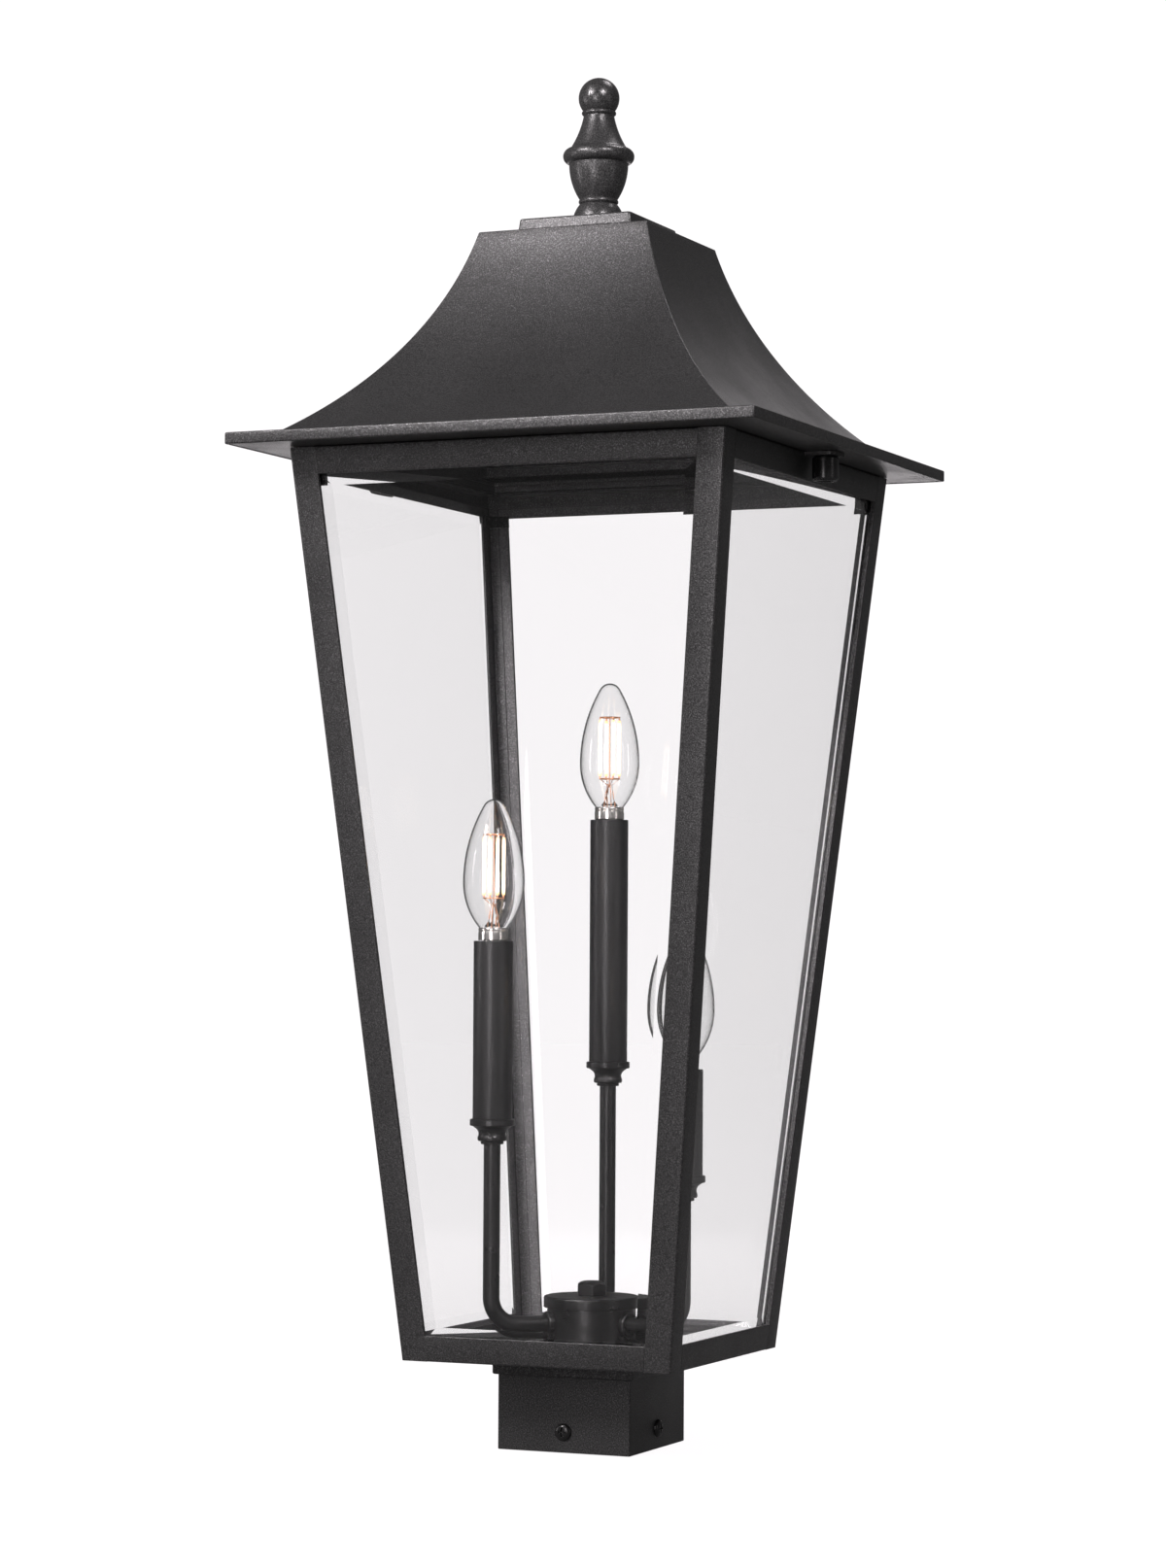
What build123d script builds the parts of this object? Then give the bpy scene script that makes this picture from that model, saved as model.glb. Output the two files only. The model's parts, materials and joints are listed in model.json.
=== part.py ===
from build123d import *
import os
from math import acos, asin, atan, cos, degrees, hypot, radians, sin, sqrt

os.makedirs("parts", exist_ok=True)

# Post top lantern, in millimetres, +Z up. The origin is the middle of the post collar's open lower rim and
# the lantern's front looks along -Y. A square cage of angle sections, wider at the top, carries four
# bevelled panes. A hollow-sided roof lifts off it, and inside stand three candle lamps of stepped height.

# ------------------------------------------------------------------ driving sizes
# Clearances
slip = 0.3  # between pieces that part from each other
play = 0.06  # round a shank or a tube in its hole, on the radius
shim = 0.1  # between a fixed piece and what it bears on

# Post collar
collar_side = 81.5
collar_wall = 2.4
collar_height = 42.5  # lower rim to lip
collar_lid = 3.0
collar_rounding = 0.8
lip_overhang = 2.6
lip_rounding = 1.5

# Screws that clamp the post
set_screw_radius = 2.5
set_screw_reach = 9.4  # into the collar from its outer face
set_screw_height = 11.7
set_head_radius = 5.0
set_head_height = 2.2
set_head_rounding = 1.1
cross_length = 5.4
cross_width = 1.1
cross_depth = 1.2

# Cage
cage_base = 52.0  # height of the cage's lower edge
cage_height = 513.7
cage_bottom_side = 163.6
cage_top_side = 263.8
cage_metal = 2.5
cage_rounding = 1.0
post_face = 16.0
bottom_rail_face = 14.6
top_rail_face = 15.4
rail_leg = 12.0
leg_metal = 2.0
pan_depth = 5.5
pan_metal = 2.0
ridge_height = 4.5  # stands on the floor pan behind the panes
ridge_metal = 1.2

# Panes, and the ridge and clips that hold them
glass_thickness = 4.0
glass_edge = 2.4  # what the bevel leaves of the thickness
bevel_width = 12.0
side_lap = 5.2  # pane behind a post
top_lap = 6.0  # pane behind the top rail
clip_wing = 11.5
clip_corner = 4.5
clip_metal = 1.0
clip_height = 7.0
clip_drop = 8.3  # clip below the pane's upper edge
clip_block = 6.5  # leg of the block in the post that takes the clip's screw
clip_screw_radius = 1.5
clip_head_radius = 2.2
clip_head_height = 1.6

# Hub
hub_radius = 25.5
hub_wall = 1.8
hub_height = 24.4
lid_overhang = 2.05  # beyond the hub
lid_skirt = 4.8
lid_rounding = 1.2
nipple_radius = 4.75
nipple_wall = 1.55
nipple_drop = 9.0  # below the collar's lid
nut_flats = 15.5
hub_nut_height = 8.4
lock_nut_height = 4.0

# Candle arms
arm_radius = 4.8
arm_wall = 1.2
arm_rise = 10.9  # arm's centre above the floor pan
arm_bend = 16.0
arm_reach = 61.5  # candle's axis from the lantern's axis
arm_start = 17.0
ferrule_wall = 2.2
ferrule_length = 3.0

# Candles: turn about +Z from the right, cup rim above the floor pan, length of the sleeve
candles = {
    "tall": (105.0, 158.5, 143.0),
    "middle": (225.0, 128.0, 101.5),
    "short": (345.0, 97.5, 60.0),
}
cup_overhang = 1.55  # beyond the sleeve
cup_rim = 3.8
cup_waist = 3.6  # wall of the cup's waist round the arm
cup_height = 12.4
spigot_height = 3.0
washer_wall = 1.74
washer_height = 1.9
sleeve_radius = 11.25
sleeve_wall = 1.0
holder_play = 1.05  # lamp holder to sleeve
holder_length = 38.0
holder_recess = 1.5  # below the sleeve's upper end
holder_grip = 6.0  # of the arm's end inside the lamp holder

# Lamps
bulb_radius = 17.6
bulb_belly = 25.9  # widest ring above the glass's lower end
bulb_lower_curve = 40.7
bulb_upper_curve = 89.5
bulb_tip_curve = 6.8
bulb_wall = 0.7
base_radius = 8.7
base_height = 7.2
shell_radius = 5.95
shell_length = 17.5
contact_radius = 2.4
contact_length = 2.5
stem_height = 16.5
stem_foot_radius = 5.6
stem_neck_radius = 1.7
spider_radius = 7.5
spider_metal = 0.6
filament_ring = 6.0
filament_radius = 0.9
filament_length = 36.4

# Eave
eave_overhang = 27.0  # beyond the cage's upper edge
eave_depth = 6.7
eave_metal = 2.0
eave_rounding = 1.5
soffit_metal = 1.5

# Roof
roof_ledge = 19.3  # of the eave, outside the roof
roof_top_side = 104.6
roof_height = 123.2
roof_curve = 217.5  # radius of the hollow curve of each slope
roof_metal = 1.6

# What fastens the roof
tab_width = 20.0
tab_metal = 2.0
tab_reach = 18.0  # beyond the cage's upper edge
tab_rounding = 4.0
stud_radius = 2.5
stud_offset = 8.9  # beyond the cage's upper edge
stud_foot_radius = 5.0
stud_foot = 1.5
stud_hole_radius = 2.9
cap_nut_radius = 7.6
cap_nut_height = 13.8
cap_nut_chamfer = 1.3
cap_nut_floor = 2.3

# Cap plate and finial
cap_plate_side = 71.5
cap_plate_height = 9.5
cap_plate_rounding = 1.0
foot_radius = 15.0
ring_radius = 11.6
urn_radius = 17.2
torus_radius = 20.8
neck_radius = 8.9
ball_radius = 11.9
finial_height = 85.9
rod_radius = 2.5
rod_in_finial = 22.0
rod_below_roof = 12.0
rod_nut_flats = 8.0
rod_nut_height = 4.0

# ------------------------------------------------------------------ derived sizes
socket_side = collar_side - 2 * collar_wall
cage_top = cage_base + cage_height
cage_slope = (cage_top_side - cage_bottom_side) / 2 / cage_height
tilt = atan(cage_slope)
rail_top = cage_base + bottom_rail_face
rail_underside = cage_top - top_rail_face
leg_top = cage_base + leg_metal
pan_top = leg_top + pan_depth
pan_under = pan_top - pan_metal
pane_front = cage_metal + slip  # cage face to the pane's outer face
pane_back = pane_front + glass_thickness
pane_base = pan_top + slip
pane_top = rail_underside + top_lap
clip_z = pane_top - clip_drop
cup_radius = sleeve_radius + cup_overhang
waist_radius = arm_radius + cup_waist
washer_radius = arm_radius + play + washer_wall
holder_radius = sleeve_radius - sleeve_wall - holder_play
hub_top = pan_top + hub_height
lid_radius = hub_radius + lid_overhang
lid_top = hub_top + hub_wall
nipple_base = pan_under - collar_lid - nipple_drop
nipple_top = lid_top + 0.75 * hub_nut_height
arm_height = pan_top + arm_rise
ferrule_radius = arm_radius + play + ferrule_wall
eave_side = cage_top_side + 2 * eave_overhang
eave_base = cage_top
eave_top = eave_base + eave_depth
eave_ceiling = eave_top - eave_metal
soffit_base = eave_base + slip
well_side = cage_top_side - 2 * rail_leg
roof_base_side = eave_side - 2 * roof_ledge
roof_top = eave_top + roof_height
finial_base = roof_top + cap_plate_height
stud_x = cage_top_side / 2 + stud_offset
cap_nut_top = cage_top - tab_metal - slip
cap_nut_base = cap_nut_top - cap_nut_height
stud_tip = cap_nut_base + cap_nut_floor + 2 * slip
root_two = sqrt(2)
clip_inward = root_two * (pane_back + shim) / cos(tilt) + clip_corner / root_two + clip_metal
clip_shank = clip_inward - root_two * cage_metal - slip
candle_tops = {name: pan_top + rise + length for name, (turn, rise, length) in candles.items()}

sides = {"front": 0, "right": 90, "back": 180, "left": 270}
corners = {"front_right": 0, "back_right": 90, "back_left": 180, "front_left": 270}


# ------------------------------------------------------------------ places
def cage_half(z):
    """Half the cage's outer width at height z."""
    return cage_bottom_side / 2 + cage_slope * (z - cage_base)


def level(turn, z):
    """The horizontal plane at height z whose -Y side looks out of the face at this turn."""
    return Plane(origin=(0, 0, z), x_dir=(cos(radians(turn)), sin(radians(turn)), 0), z_dir=(0, 0, 1))


def facing(turn, distance, z):
    """The upright plane at this distance from the axis that looks outward at this turn."""
    across = (cos(radians(turn)), sin(radians(turn)), 0)
    outward = (sin(radians(turn)), -cos(radians(turn)), 0)
    return Plane(origin=Vector(outward) * distance + Vector(0, 0, z), x_dir=across, z_dir=outward)


def pane_plane(turn, z, depth):
    """The plane that lies this deep under the cage's sloping face, its Y axis up the slope from z."""
    across = (cos(radians(turn)), sin(radians(turn)), 0)
    out_x, out_y = sin(radians(turn)), -cos(radians(turn))
    normal = Vector(out_x * cos(tilt), out_y * cos(tilt), -sin(tilt))
    half = cage_half(z) - depth / cos(tilt)
    return Plane(origin=(out_x * half, out_y * half, z), x_dir=across, z_dir=normal)


def corner_plane(turn, z):
    """The plane of a clip's inner face in the corner clockwise of this turn's face, looking outward."""
    lean = atan(root_two * cage_slope)
    out_x, out_y = sin(radians(turn + 45)), -cos(radians(turn + 45))
    distance = root_two * cage_half(z) - clip_inward
    normal = Vector(out_x * cos(lean), out_y * cos(lean), -sin(lean))
    return Plane(origin=(out_x * distance, out_y * distance, z), x_dir=(-out_y, out_x, 0), z_dir=normal)


def turning(x, y, z):
    """The upright plane whose Y axis is the vertical axis through x, y, for turned outlines."""
    return Plane(origin=(x, y, z), x_dir=(1, 0, 0), z_dir=(0, -1, 0))


def upright(x, y):
    """The vertical axis through x, y."""
    return Axis((x, y, 0), (0, 0, 1))


def candle_place(turn):
    """Where a candle's axis stands."""
    return arm_reach * cos(radians(turn)), arm_reach * sin(radians(turn))


def arm_plane(turn):
    """The upright plane through the lantern's axis and a candle, its X axis toward the candle."""
    toward = (cos(radians(turn)), sin(radians(turn)), 0)
    return Plane(origin=(0, 0, 0), x_dir=toward, z_dir=(sin(radians(turn)), -cos(radians(turn)), 0))


# ------------------------------------------------------------------ outlines
def post_section(z):
    """The corners of a corner post's angle section at height z, in the near right-hand corner."""
    half = cage_half(z)
    edge = half - post_face
    inner = half - cage_metal
    return [(half, -half), (half, -edge), (inner, -edge), (inner, -inner), (edge, -inner), (edge, -half)]


def block_section(z):
    """The corners of the block that fills a corner post's inner corner at height z."""
    root = cage_half(z) - cage_metal / 2
    leg = clip_block + cage_metal
    return [(root, -root), (root, leg - root), (root - leg, -root)]


def clip_section(z):
    """The corners of a bent clip that bears on the inner faces of two neighbouring panes at height z."""
    corner = cage_half(z) - (pane_back + shim) / cos(tilt)
    inner_bend = clip_corner + clip_metal * (root_two - 1)
    wing = [(clip_wing, 0), (clip_corner, 0), (0, clip_corner), (0, clip_wing)]
    lining = [(clip_metal, clip_wing), (clip_metal, inner_bend)]
    lining += [(inner_bend, clip_metal), (clip_wing, clip_metal)]
    return [(corner - u, v - corner) for u, v in wing + lining]


def pane_outline(z_low, z_high, inset):
    """A pane's four corners in its own plane, inset from its edges."""
    slant = (z_high - z_low) / cos(tilt)
    low = cage_half(z_low) - post_face + side_lap
    high = cage_half(z_high) - post_face + side_lap
    side = inset / cos(atan((high - low) / slant))
    grow = (high - low) / slant
    return [
        (-(low + grow * inset - side), inset),
        (low + grow * inset - side, inset),
        (high - grow * inset - side, slant - inset),
        (-(high - grow * inset - side), slant - inset),
    ]


def bulb_outline(skin):
    """Half the lamp glass's upright section, skin inside its outer face: three arcs in one sweep."""
    upper_x = bulb_radius - bulb_upper_curve
    rise = sqrt((bulb_upper_curve - bulb_tip_curve) ** 2 - upper_x**2)
    top_turn = degrees(asin(rise / (bulb_upper_curve - bulb_tip_curve)))
    low_turn = degrees(asin(bulb_belly / (bulb_lower_curve - skin)))
    foot_x = bulb_radius - bulb_lower_curve
    foot = CenterArc((foot_x, bulb_belly), bulb_lower_curve - skin, -low_turn, low_turn)
    CenterArc((upper_x, bulb_belly), bulb_upper_curve - skin, 0, top_turn)
    tip = CenterArc((0, bulb_belly + rise), bulb_tip_curve - skin, top_turn, 90 - top_turn)
    Polyline(tip @ 1, (0, 0), foot @ 0)


def roof_half(z, inset):
    """Half the roof's width at height z above the eave, inset under the slope's outer face."""
    run = (roof_base_side - roof_top_side) / 2
    chord = hypot(run, roof_height)
    reach = sqrt(roof_curve**2 - chord**2 / 4)
    centre_x = (roof_base_side + roof_top_side) / 4 + reach * roof_height / chord
    centre_z = roof_height / 2 + reach * run / chord
    return centre_x - sqrt((roof_curve + inset) ** 2 - (z - centre_z) ** 2)


def roof_outline(height, inset):
    """The roof's upright section: two hollow slopes between the open base and the flat top."""
    low, middle, high = (roof_half(part * height, inset) for part in (0, 0.5, 1))
    ThreePointArc((low, 0), (middle, height / 2), (high, height))
    Line((high, height), (-high, height))
    ThreePointArc((-high, height), (-middle, height / 2), (-low, 0))
    Line((-low, 0), (low, 0))


# ------------------------------------------------------------------ post collar and its screws
with BuildPart() as post_collar:
    with BuildSketch():
        RectangleRounded(collar_side, collar_side, collar_rounding)
    extrude(amount=pan_under)
    with BuildSketch(Plane.XY.offset(collar_height)):
        RectangleRounded(collar_side + 2 * lip_overhang, collar_side + 2 * lip_overhang, lip_rounding)
    extrude(amount=pan_under - collar_height)
    lip_underside = post_collar.faces().filter_by(Axis.Z).sort_by(Axis.Z)[1]
    fillet(lip_underside.outer_wire().edges(), lip_rounding * 0.9)
    with BuildSketch():
        Rectangle(socket_side, socket_side)
    extrude(amount=pan_under - collar_lid, mode=Mode.SUBTRACT)
    with Locations((0, 0, pan_under)):
        Hole(nipple_radius + slip)
    for turn in sides.values():
        with Locations(facing(turn, collar_side / 2, set_screw_height)):
            Hole(set_screw_radius + play, 2 * collar_wall)
post_collar.part.label = "post_collar"
export_step(post_collar.part, "parts/post_collar.step")

for side, turn in sides.items():
    head_face = facing(turn, collar_side / 2 + slip, set_screw_height)
    head_end = head_face.offset(set_head_height)
    with BuildPart() as set_screw:
        with BuildSketch(head_face):
            Circle(set_head_radius)
        extrude(amount=set_head_height)
        outer_faces = set_screw.faces().sort_by(Axis(head_face.origin, head_face.z_dir))
        fillet(outer_faces[-1].edges(), set_head_rounding)
        with BuildSketch(head_face):
            Circle(set_screw_radius)
        extrude(amount=-set_screw_reach - slip)
        with BuildSketch(head_end):
            Rectangle(cross_length, cross_width)
            Rectangle(cross_width, cross_length)
        extrude(amount=-cross_depth, mode=Mode.SUBTRACT)
    set_screw.part.label = f"set_screw_{side}"
    export_step(set_screw.part, f"parts/set_screw_{side}.step")

# ------------------------------------------------------------------ cage
for corner, turn in corners.items():
    with BuildPart() as corner_post:
        for z in (cage_base, cage_top):
            with BuildSketch(level(turn, z)) as section:
                with BuildLine():
                    Polyline(*post_section(z), close=True)
                make_face()
                fillet(section.vertices().sort_by(lambda point: point.X - point.Y)[-1], cage_rounding)
        loft(ruled=True)
        for z in (clip_z - clip_height / 2, clip_z + clip_height / 2):
            with BuildSketch(level(turn, z)):
                with BuildLine():
                    Polyline(*block_section(z), close=True)
                make_face()
        loft(ruled=True)
        with BuildSketch(corner_plane(turn, clip_z)):
            Circle(clip_screw_radius + play)
        extrude(amount=clip_shank + slip / 2, mode=Mode.SUBTRACT)
    corner_post.part.label = f"corner_post_{corner}"
    export_step(corner_post.part, f"parts/corner_post_{corner}.step")

for side, turn in sides.items():
    with BuildPart() as bottom_rail:
        for z in (cage_base, rail_top):
            with BuildSketch(level(turn, z)):
                with Locations((0, cage_metal / 2 - cage_half(z))):
                    Rectangle(2 * (cage_half(z) - post_face), cage_metal)
        loft(ruled=True)
        leg_reach = rail_leg + cage_metal / 2
        with BuildSketch(level(turn, cage_base)):
            with Locations((0, (cage_metal + leg_reach) / 2 - cage_half(cage_base))):
                Rectangle(2 * (cage_half(cage_base) - post_face), leg_reach)
        extrude(amount=leg_metal)
    bottom_rail.part.label = f"bottom_rail_{side}"
    export_step(bottom_rail.part, f"parts/bottom_rail_{side}.step")

    with BuildPart() as top_rail:
        for z in (rail_underside, cage_top):
            with BuildSketch(level(turn, z)):
                with Locations((0, cage_metal / 2 - cage_half(z))):
                    Rectangle(2 * (cage_half(z) - post_face), cage_metal)
        loft(ruled=True)
        leg_base = cage_top - leg_metal
        with BuildSketch(level(turn, leg_base)):
            with Locations((0, (cage_metal + leg_reach) / 2 - cage_half(leg_base))):
                Rectangle(2 * (cage_half(leg_base) - post_face), leg_reach)
        extrude(amount=leg_metal)
    top_rail.part.label = f"top_rail_{side}"
    export_step(top_rail.part, f"parts/top_rail_{side}.step")

pan_side = 2 * (cage_half(leg_top) - cage_metal / cos(tilt) - slip)
ridge_side = 2 * (cage_half(pane_base) - (pane_back + shim) / cos(tilt))
with BuildPart() as floor_pan:
    with BuildSketch(Plane.XY.offset(leg_top)):
        Rectangle(pan_side, pan_side)
    extrude(amount=pan_depth)
    with BuildSketch(Plane.XY.offset(leg_top)):
        Rectangle(pan_side - 2 * pan_metal, pan_side - 2 * pan_metal)
    extrude(amount=pan_depth - pan_metal, mode=Mode.SUBTRACT)
    with BuildSketch(Plane.XY.offset(pan_top)):
        Rectangle(ridge_side, ridge_side)
        Rectangle(ridge_side - 2 * ridge_metal, ridge_side - 2 * ridge_metal, mode=Mode.SUBTRACT)
    extrude(amount=ridge_height)
    with Locations((0, 0, pan_top)):
        Hole(nipple_radius + slip)
floor_pan.part.label = "floor_pan"
export_step(floor_pan.part, "parts/floor_pan.step")

# ------------------------------------------------------------------ panes and clips
for side, turn in sides.items():
    inner_face = pane_plane(turn, pane_base, pane_back)
    with BuildPart() as glass_pane:
        with BuildSketch(inner_face):
            with BuildLine():
                Polyline(*pane_outline(pane_base, pane_top, 0), close=True)
            make_face()
        extrude(amount=glass_edge)
        with BuildSketch(inner_face.offset(glass_edge)):
            with BuildLine():
                Polyline(*pane_outline(pane_base, pane_top, 0), close=True)
            make_face()
        with BuildSketch(inner_face.offset(glass_thickness)):
            with BuildLine():
                Polyline(*pane_outline(pane_base, pane_top, bevel_width), close=True)
            make_face()
        loft(ruled=True)
    glass_pane.part.label = f"glass_pane_{side}"
    export_step(glass_pane.part, f"parts/glass_pane_{side}.step")

with BuildPart() as glass_clips:
    for turn in corners.values():
        for z in (clip_z - clip_height / 2, clip_z + clip_height / 2):
            with BuildSketch(level(turn, z)):
                with BuildLine():
                    Polyline(*clip_section(z), close=True)
                make_face()
        loft(ruled=True)
        with Locations(corner_plane(turn, clip_z)):
            Hole(clip_screw_radius + play, 2 * clip_metal)
    for turn in corners.values():
        clip_face = corner_plane(turn, clip_z)
        with BuildSketch(clip_face):
            Circle(clip_screw_radius)
        extrude(amount=clip_shank)
        with BuildSketch(clip_face.offset(-shim)):
            Circle(clip_head_radius)
        extrude(amount=-clip_head_height)
        with BuildSketch(clip_face.offset(-shim)):
            Circle(clip_screw_radius)
        extrude(amount=shim)
glass_clips.part.label = "glass_clips"
export_step(glass_clips.part, "parts/glass_clips.step")

# ------------------------------------------------------------------ hub
with BuildPart() as hub_cup:
    with BuildSketch(Plane.XY.offset(pan_top)):
        Circle(hub_radius)
    extrude(amount=hub_height)
    with BuildSketch(Plane.XY.offset(pan_top + hub_wall)):
        Circle(hub_radius - hub_wall)
    extrude(amount=hub_height, mode=Mode.SUBTRACT)
    with Locations((0, 0, pan_top)):
        Hole(nipple_radius + slip)
    for turn, rise, length in candles.values():
        with Locations(facing(turn + 90, hub_radius, arm_height)):
            Hole(arm_radius + play, 2 * hub_wall)
hub_cup.part.label = "hub_cup"
export_step(hub_cup.part, "parts/hub_cup.step")

with BuildPart() as hub_lid:
    with BuildSketch(Plane.XY.offset(hub_top - lid_skirt)):
        Circle(lid_radius)
    extrude(amount=lid_skirt + hub_wall)
    fillet(hub_lid.edges().sort_by(Axis.Z)[-1], lid_rounding)
    with BuildSketch(Plane.XY.offset(hub_top - lid_skirt)):
        Circle(hub_radius + slip)
    extrude(amount=lid_skirt, mode=Mode.SUBTRACT)
    with Locations((0, 0, lid_top)):
        Hole(nipple_radius + slip)
hub_lid.part.label = "hub_lid"
export_step(hub_lid.part, "parts/hub_lid.step")

nut_corner = nut_flats / sqrt(3)
with BuildPart() as hub_nut:
    with BuildSketch(Plane.XY.offset(lid_top)):
        RegularPolygon(nut_corner, 6)
    extrude(amount=hub_nut_height)
    with BuildSketch(turning(0, 0, lid_top)):
        with BuildLine():
            Polyline((nut_corner * 0.5, hub_nut_height), (0, hub_nut_height), (0, 0), (nut_corner * 0.92, 0))
            nut_side = [(nut_corner, nut_corner * 0.05), (nut_corner, hub_nut_height * 0.6)]
            Polyline((nut_corner * 0.92, 0), *nut_side)
            ThreePointArc(
                (nut_corner, hub_nut_height * 0.6),
                (nut_corner * 0.84, hub_nut_height * 0.88),
                (nut_corner * 0.5, hub_nut_height),
            )
        make_face()
    revolve(axis=upright(0, 0), mode=Mode.INTERSECT)
    with Locations((0, 0, lid_top)):
        Hole(nipple_radius + play, nipple_top - lid_top + slip)
hub_nut.part.label = "hub_nut"
export_step(hub_nut.part, "parts/hub_nut.step")

with BuildPart() as hub_nipple:
    with BuildSketch(Plane.XY.offset(nipple_base)):
        Circle(nipple_radius)
        Circle(nipple_radius - nipple_wall, mode=Mode.SUBTRACT)
    extrude(amount=nipple_top - nipple_base)
    with BuildSketch(Plane.XY.offset(pan_under - collar_lid)):
        RegularPolygon(nut_corner, 6)
        Circle(nipple_radius + play, mode=Mode.SUBTRACT)
    extrude(amount=-lock_nut_height)
hub_nipple.part.label = "hub_nipple"
export_step(hub_nipple.part, "parts/hub_nipple.step")

with BuildPart() as arm_ferrules:
    for turn, rise, length in candles.values():
        ring_bore = arm_radius + play
        with BuildSketch(arm_plane(turn)) as ring:
            with Locations((hub_radius, arm_height + (ferrule_radius + ring_bore) / 2)):
                Rectangle(2 * ferrule_length, ferrule_radius - ring_bore)
            fillet(ring.vertices().group_by(Axis.Y)[-1], 0.8)
        revolve(axis=Axis((0, 0, arm_height), arm_plane(turn).x_dir))
    with BuildSketch(Plane.XY.offset(pan_top)):
        Circle(hub_radius + shim)
    extrude(amount=hub_height, mode=Mode.SUBTRACT)
arm_ferrules.part.label = "arm_ferrules"
export_step(arm_ferrules.part, "parts/arm_ferrules.step")

# ------------------------------------------------------------------ candles
for name, (turn, rise, length) in candles.items():
    x, y = candle_place(turn)
    cup_top = pan_top + rise
    sleeve_top = candle_tops[name]
    holder_top = sleeve_top - holder_recess
    holder_base = holder_top - holder_length
    hole_radius = arm_radius + play

    with BuildPart() as arm:
        with BuildLine(arm_plane(turn)) as run:
            FilletPolyline(
                (arm_start, arm_height),
                (arm_reach, arm_height),
                (arm_reach, holder_base + holder_grip),
                radius=arm_bend,
            )
        with BuildSketch(Plane(origin=run.line @ 0, z_dir=run.line % 0)):
            Circle(arm_radius)
            Circle(arm_radius - arm_wall, mode=Mode.SUBTRACT)
        sweep()
    arm.part.label = f"arm_{name}"
    export_step(arm.part, f"parts/arm_{name}.step")

    with BuildPart() as candle_cup:
        with BuildSketch(turning(x, y, cup_top)):
            with BuildLine():
                lip_height = cup_height * 0.22
                waist_top = cup_height * 0.39
                spigot_radius = sleeve_radius - sleeve_wall - 1.5 * shim
                Line((hole_radius, -cup_height), (waist_radius, -cup_height))
                ThreePointArc(
                    (waist_radius, -cup_height),
                    (waist_radius + 0.6, -cup_height + lip_height / 2),
                    (waist_radius, -cup_height + lip_height),
                )
                Line((waist_radius, -cup_height + lip_height), (waist_radius, -cup_height + waist_top))
                TangentArc(
                    (waist_radius, -cup_height + waist_top),
                    (cup_radius - 0.8, -cup_rim),
                    tangent=(0, 1),
                )
                ThreePointArc((cup_radius - 0.8, -cup_rim), (cup_radius, -cup_rim / 2), (cup_radius - 0.8, 0))
                Polyline(
                    (cup_radius - 0.8, 0),
                    (spigot_radius, 0),
                    (spigot_radius, spigot_height),
                    (hole_radius, spigot_height),
                    (hole_radius, -cup_height),
                )
            make_face()
        revolve(axis=upright(x, y))
    candle_cup.part.label = f"candle_cup_{name}"
    export_step(candle_cup.part, f"parts/candle_cup_{name}.step")

    with BuildPart() as sleeve:
        with BuildSketch(Plane.XY.offset(cup_top)):
            with Locations((x, y)):
                Circle(sleeve_radius)
                Circle(sleeve_radius - sleeve_wall, mode=Mode.SUBTRACT)
        extrude(amount=length)
    sleeve.part.label = f"candle_sleeve_{name}"
    export_step(sleeve.part, f"parts/candle_sleeve_{name}.step")

    with BuildPart() as lamp_holder:
        with BuildSketch(Plane.XY.offset(holder_base)):
            with Locations((x, y)):
                Circle(holder_radius)
        extrude(amount=holder_length)
        with Locations((x, y, holder_top)):
            Hole(shell_radius + slip, shell_length + contact_length - holder_recess)
        with Locations((x, y, holder_base)):
            Hole(hole_radius, holder_grip)
    lamp_holder.part.label = f"lamp_holder_{name}"
    export_step(lamp_holder.part, f"parts/lamp_holder_{name}.step")

with BuildPart() as cup_washers:
    for turn, rise, length in candles.values():
        x, y = candle_place(turn)
        with BuildSketch(turning(x, y, pan_top + rise - cup_height)):
            with BuildLine():
                ThreePointArc(
                    (washer_radius - 0.7, -washer_height),
                    (washer_radius, -washer_height / 2),
                    (washer_radius - 0.7, 0),
                )
                Polyline(
                    (washer_radius - 0.7, 0),
                    (arm_radius + play, 0),
                    (arm_radius + play, -washer_height),
                    (washer_radius - 0.7, -washer_height),
                )
            make_face()
        revolve(axis=upright(x, y))
cup_washers.part.label = "cup_washers"
export_step(cup_washers.part, "parts/cup_washers.step")

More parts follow.
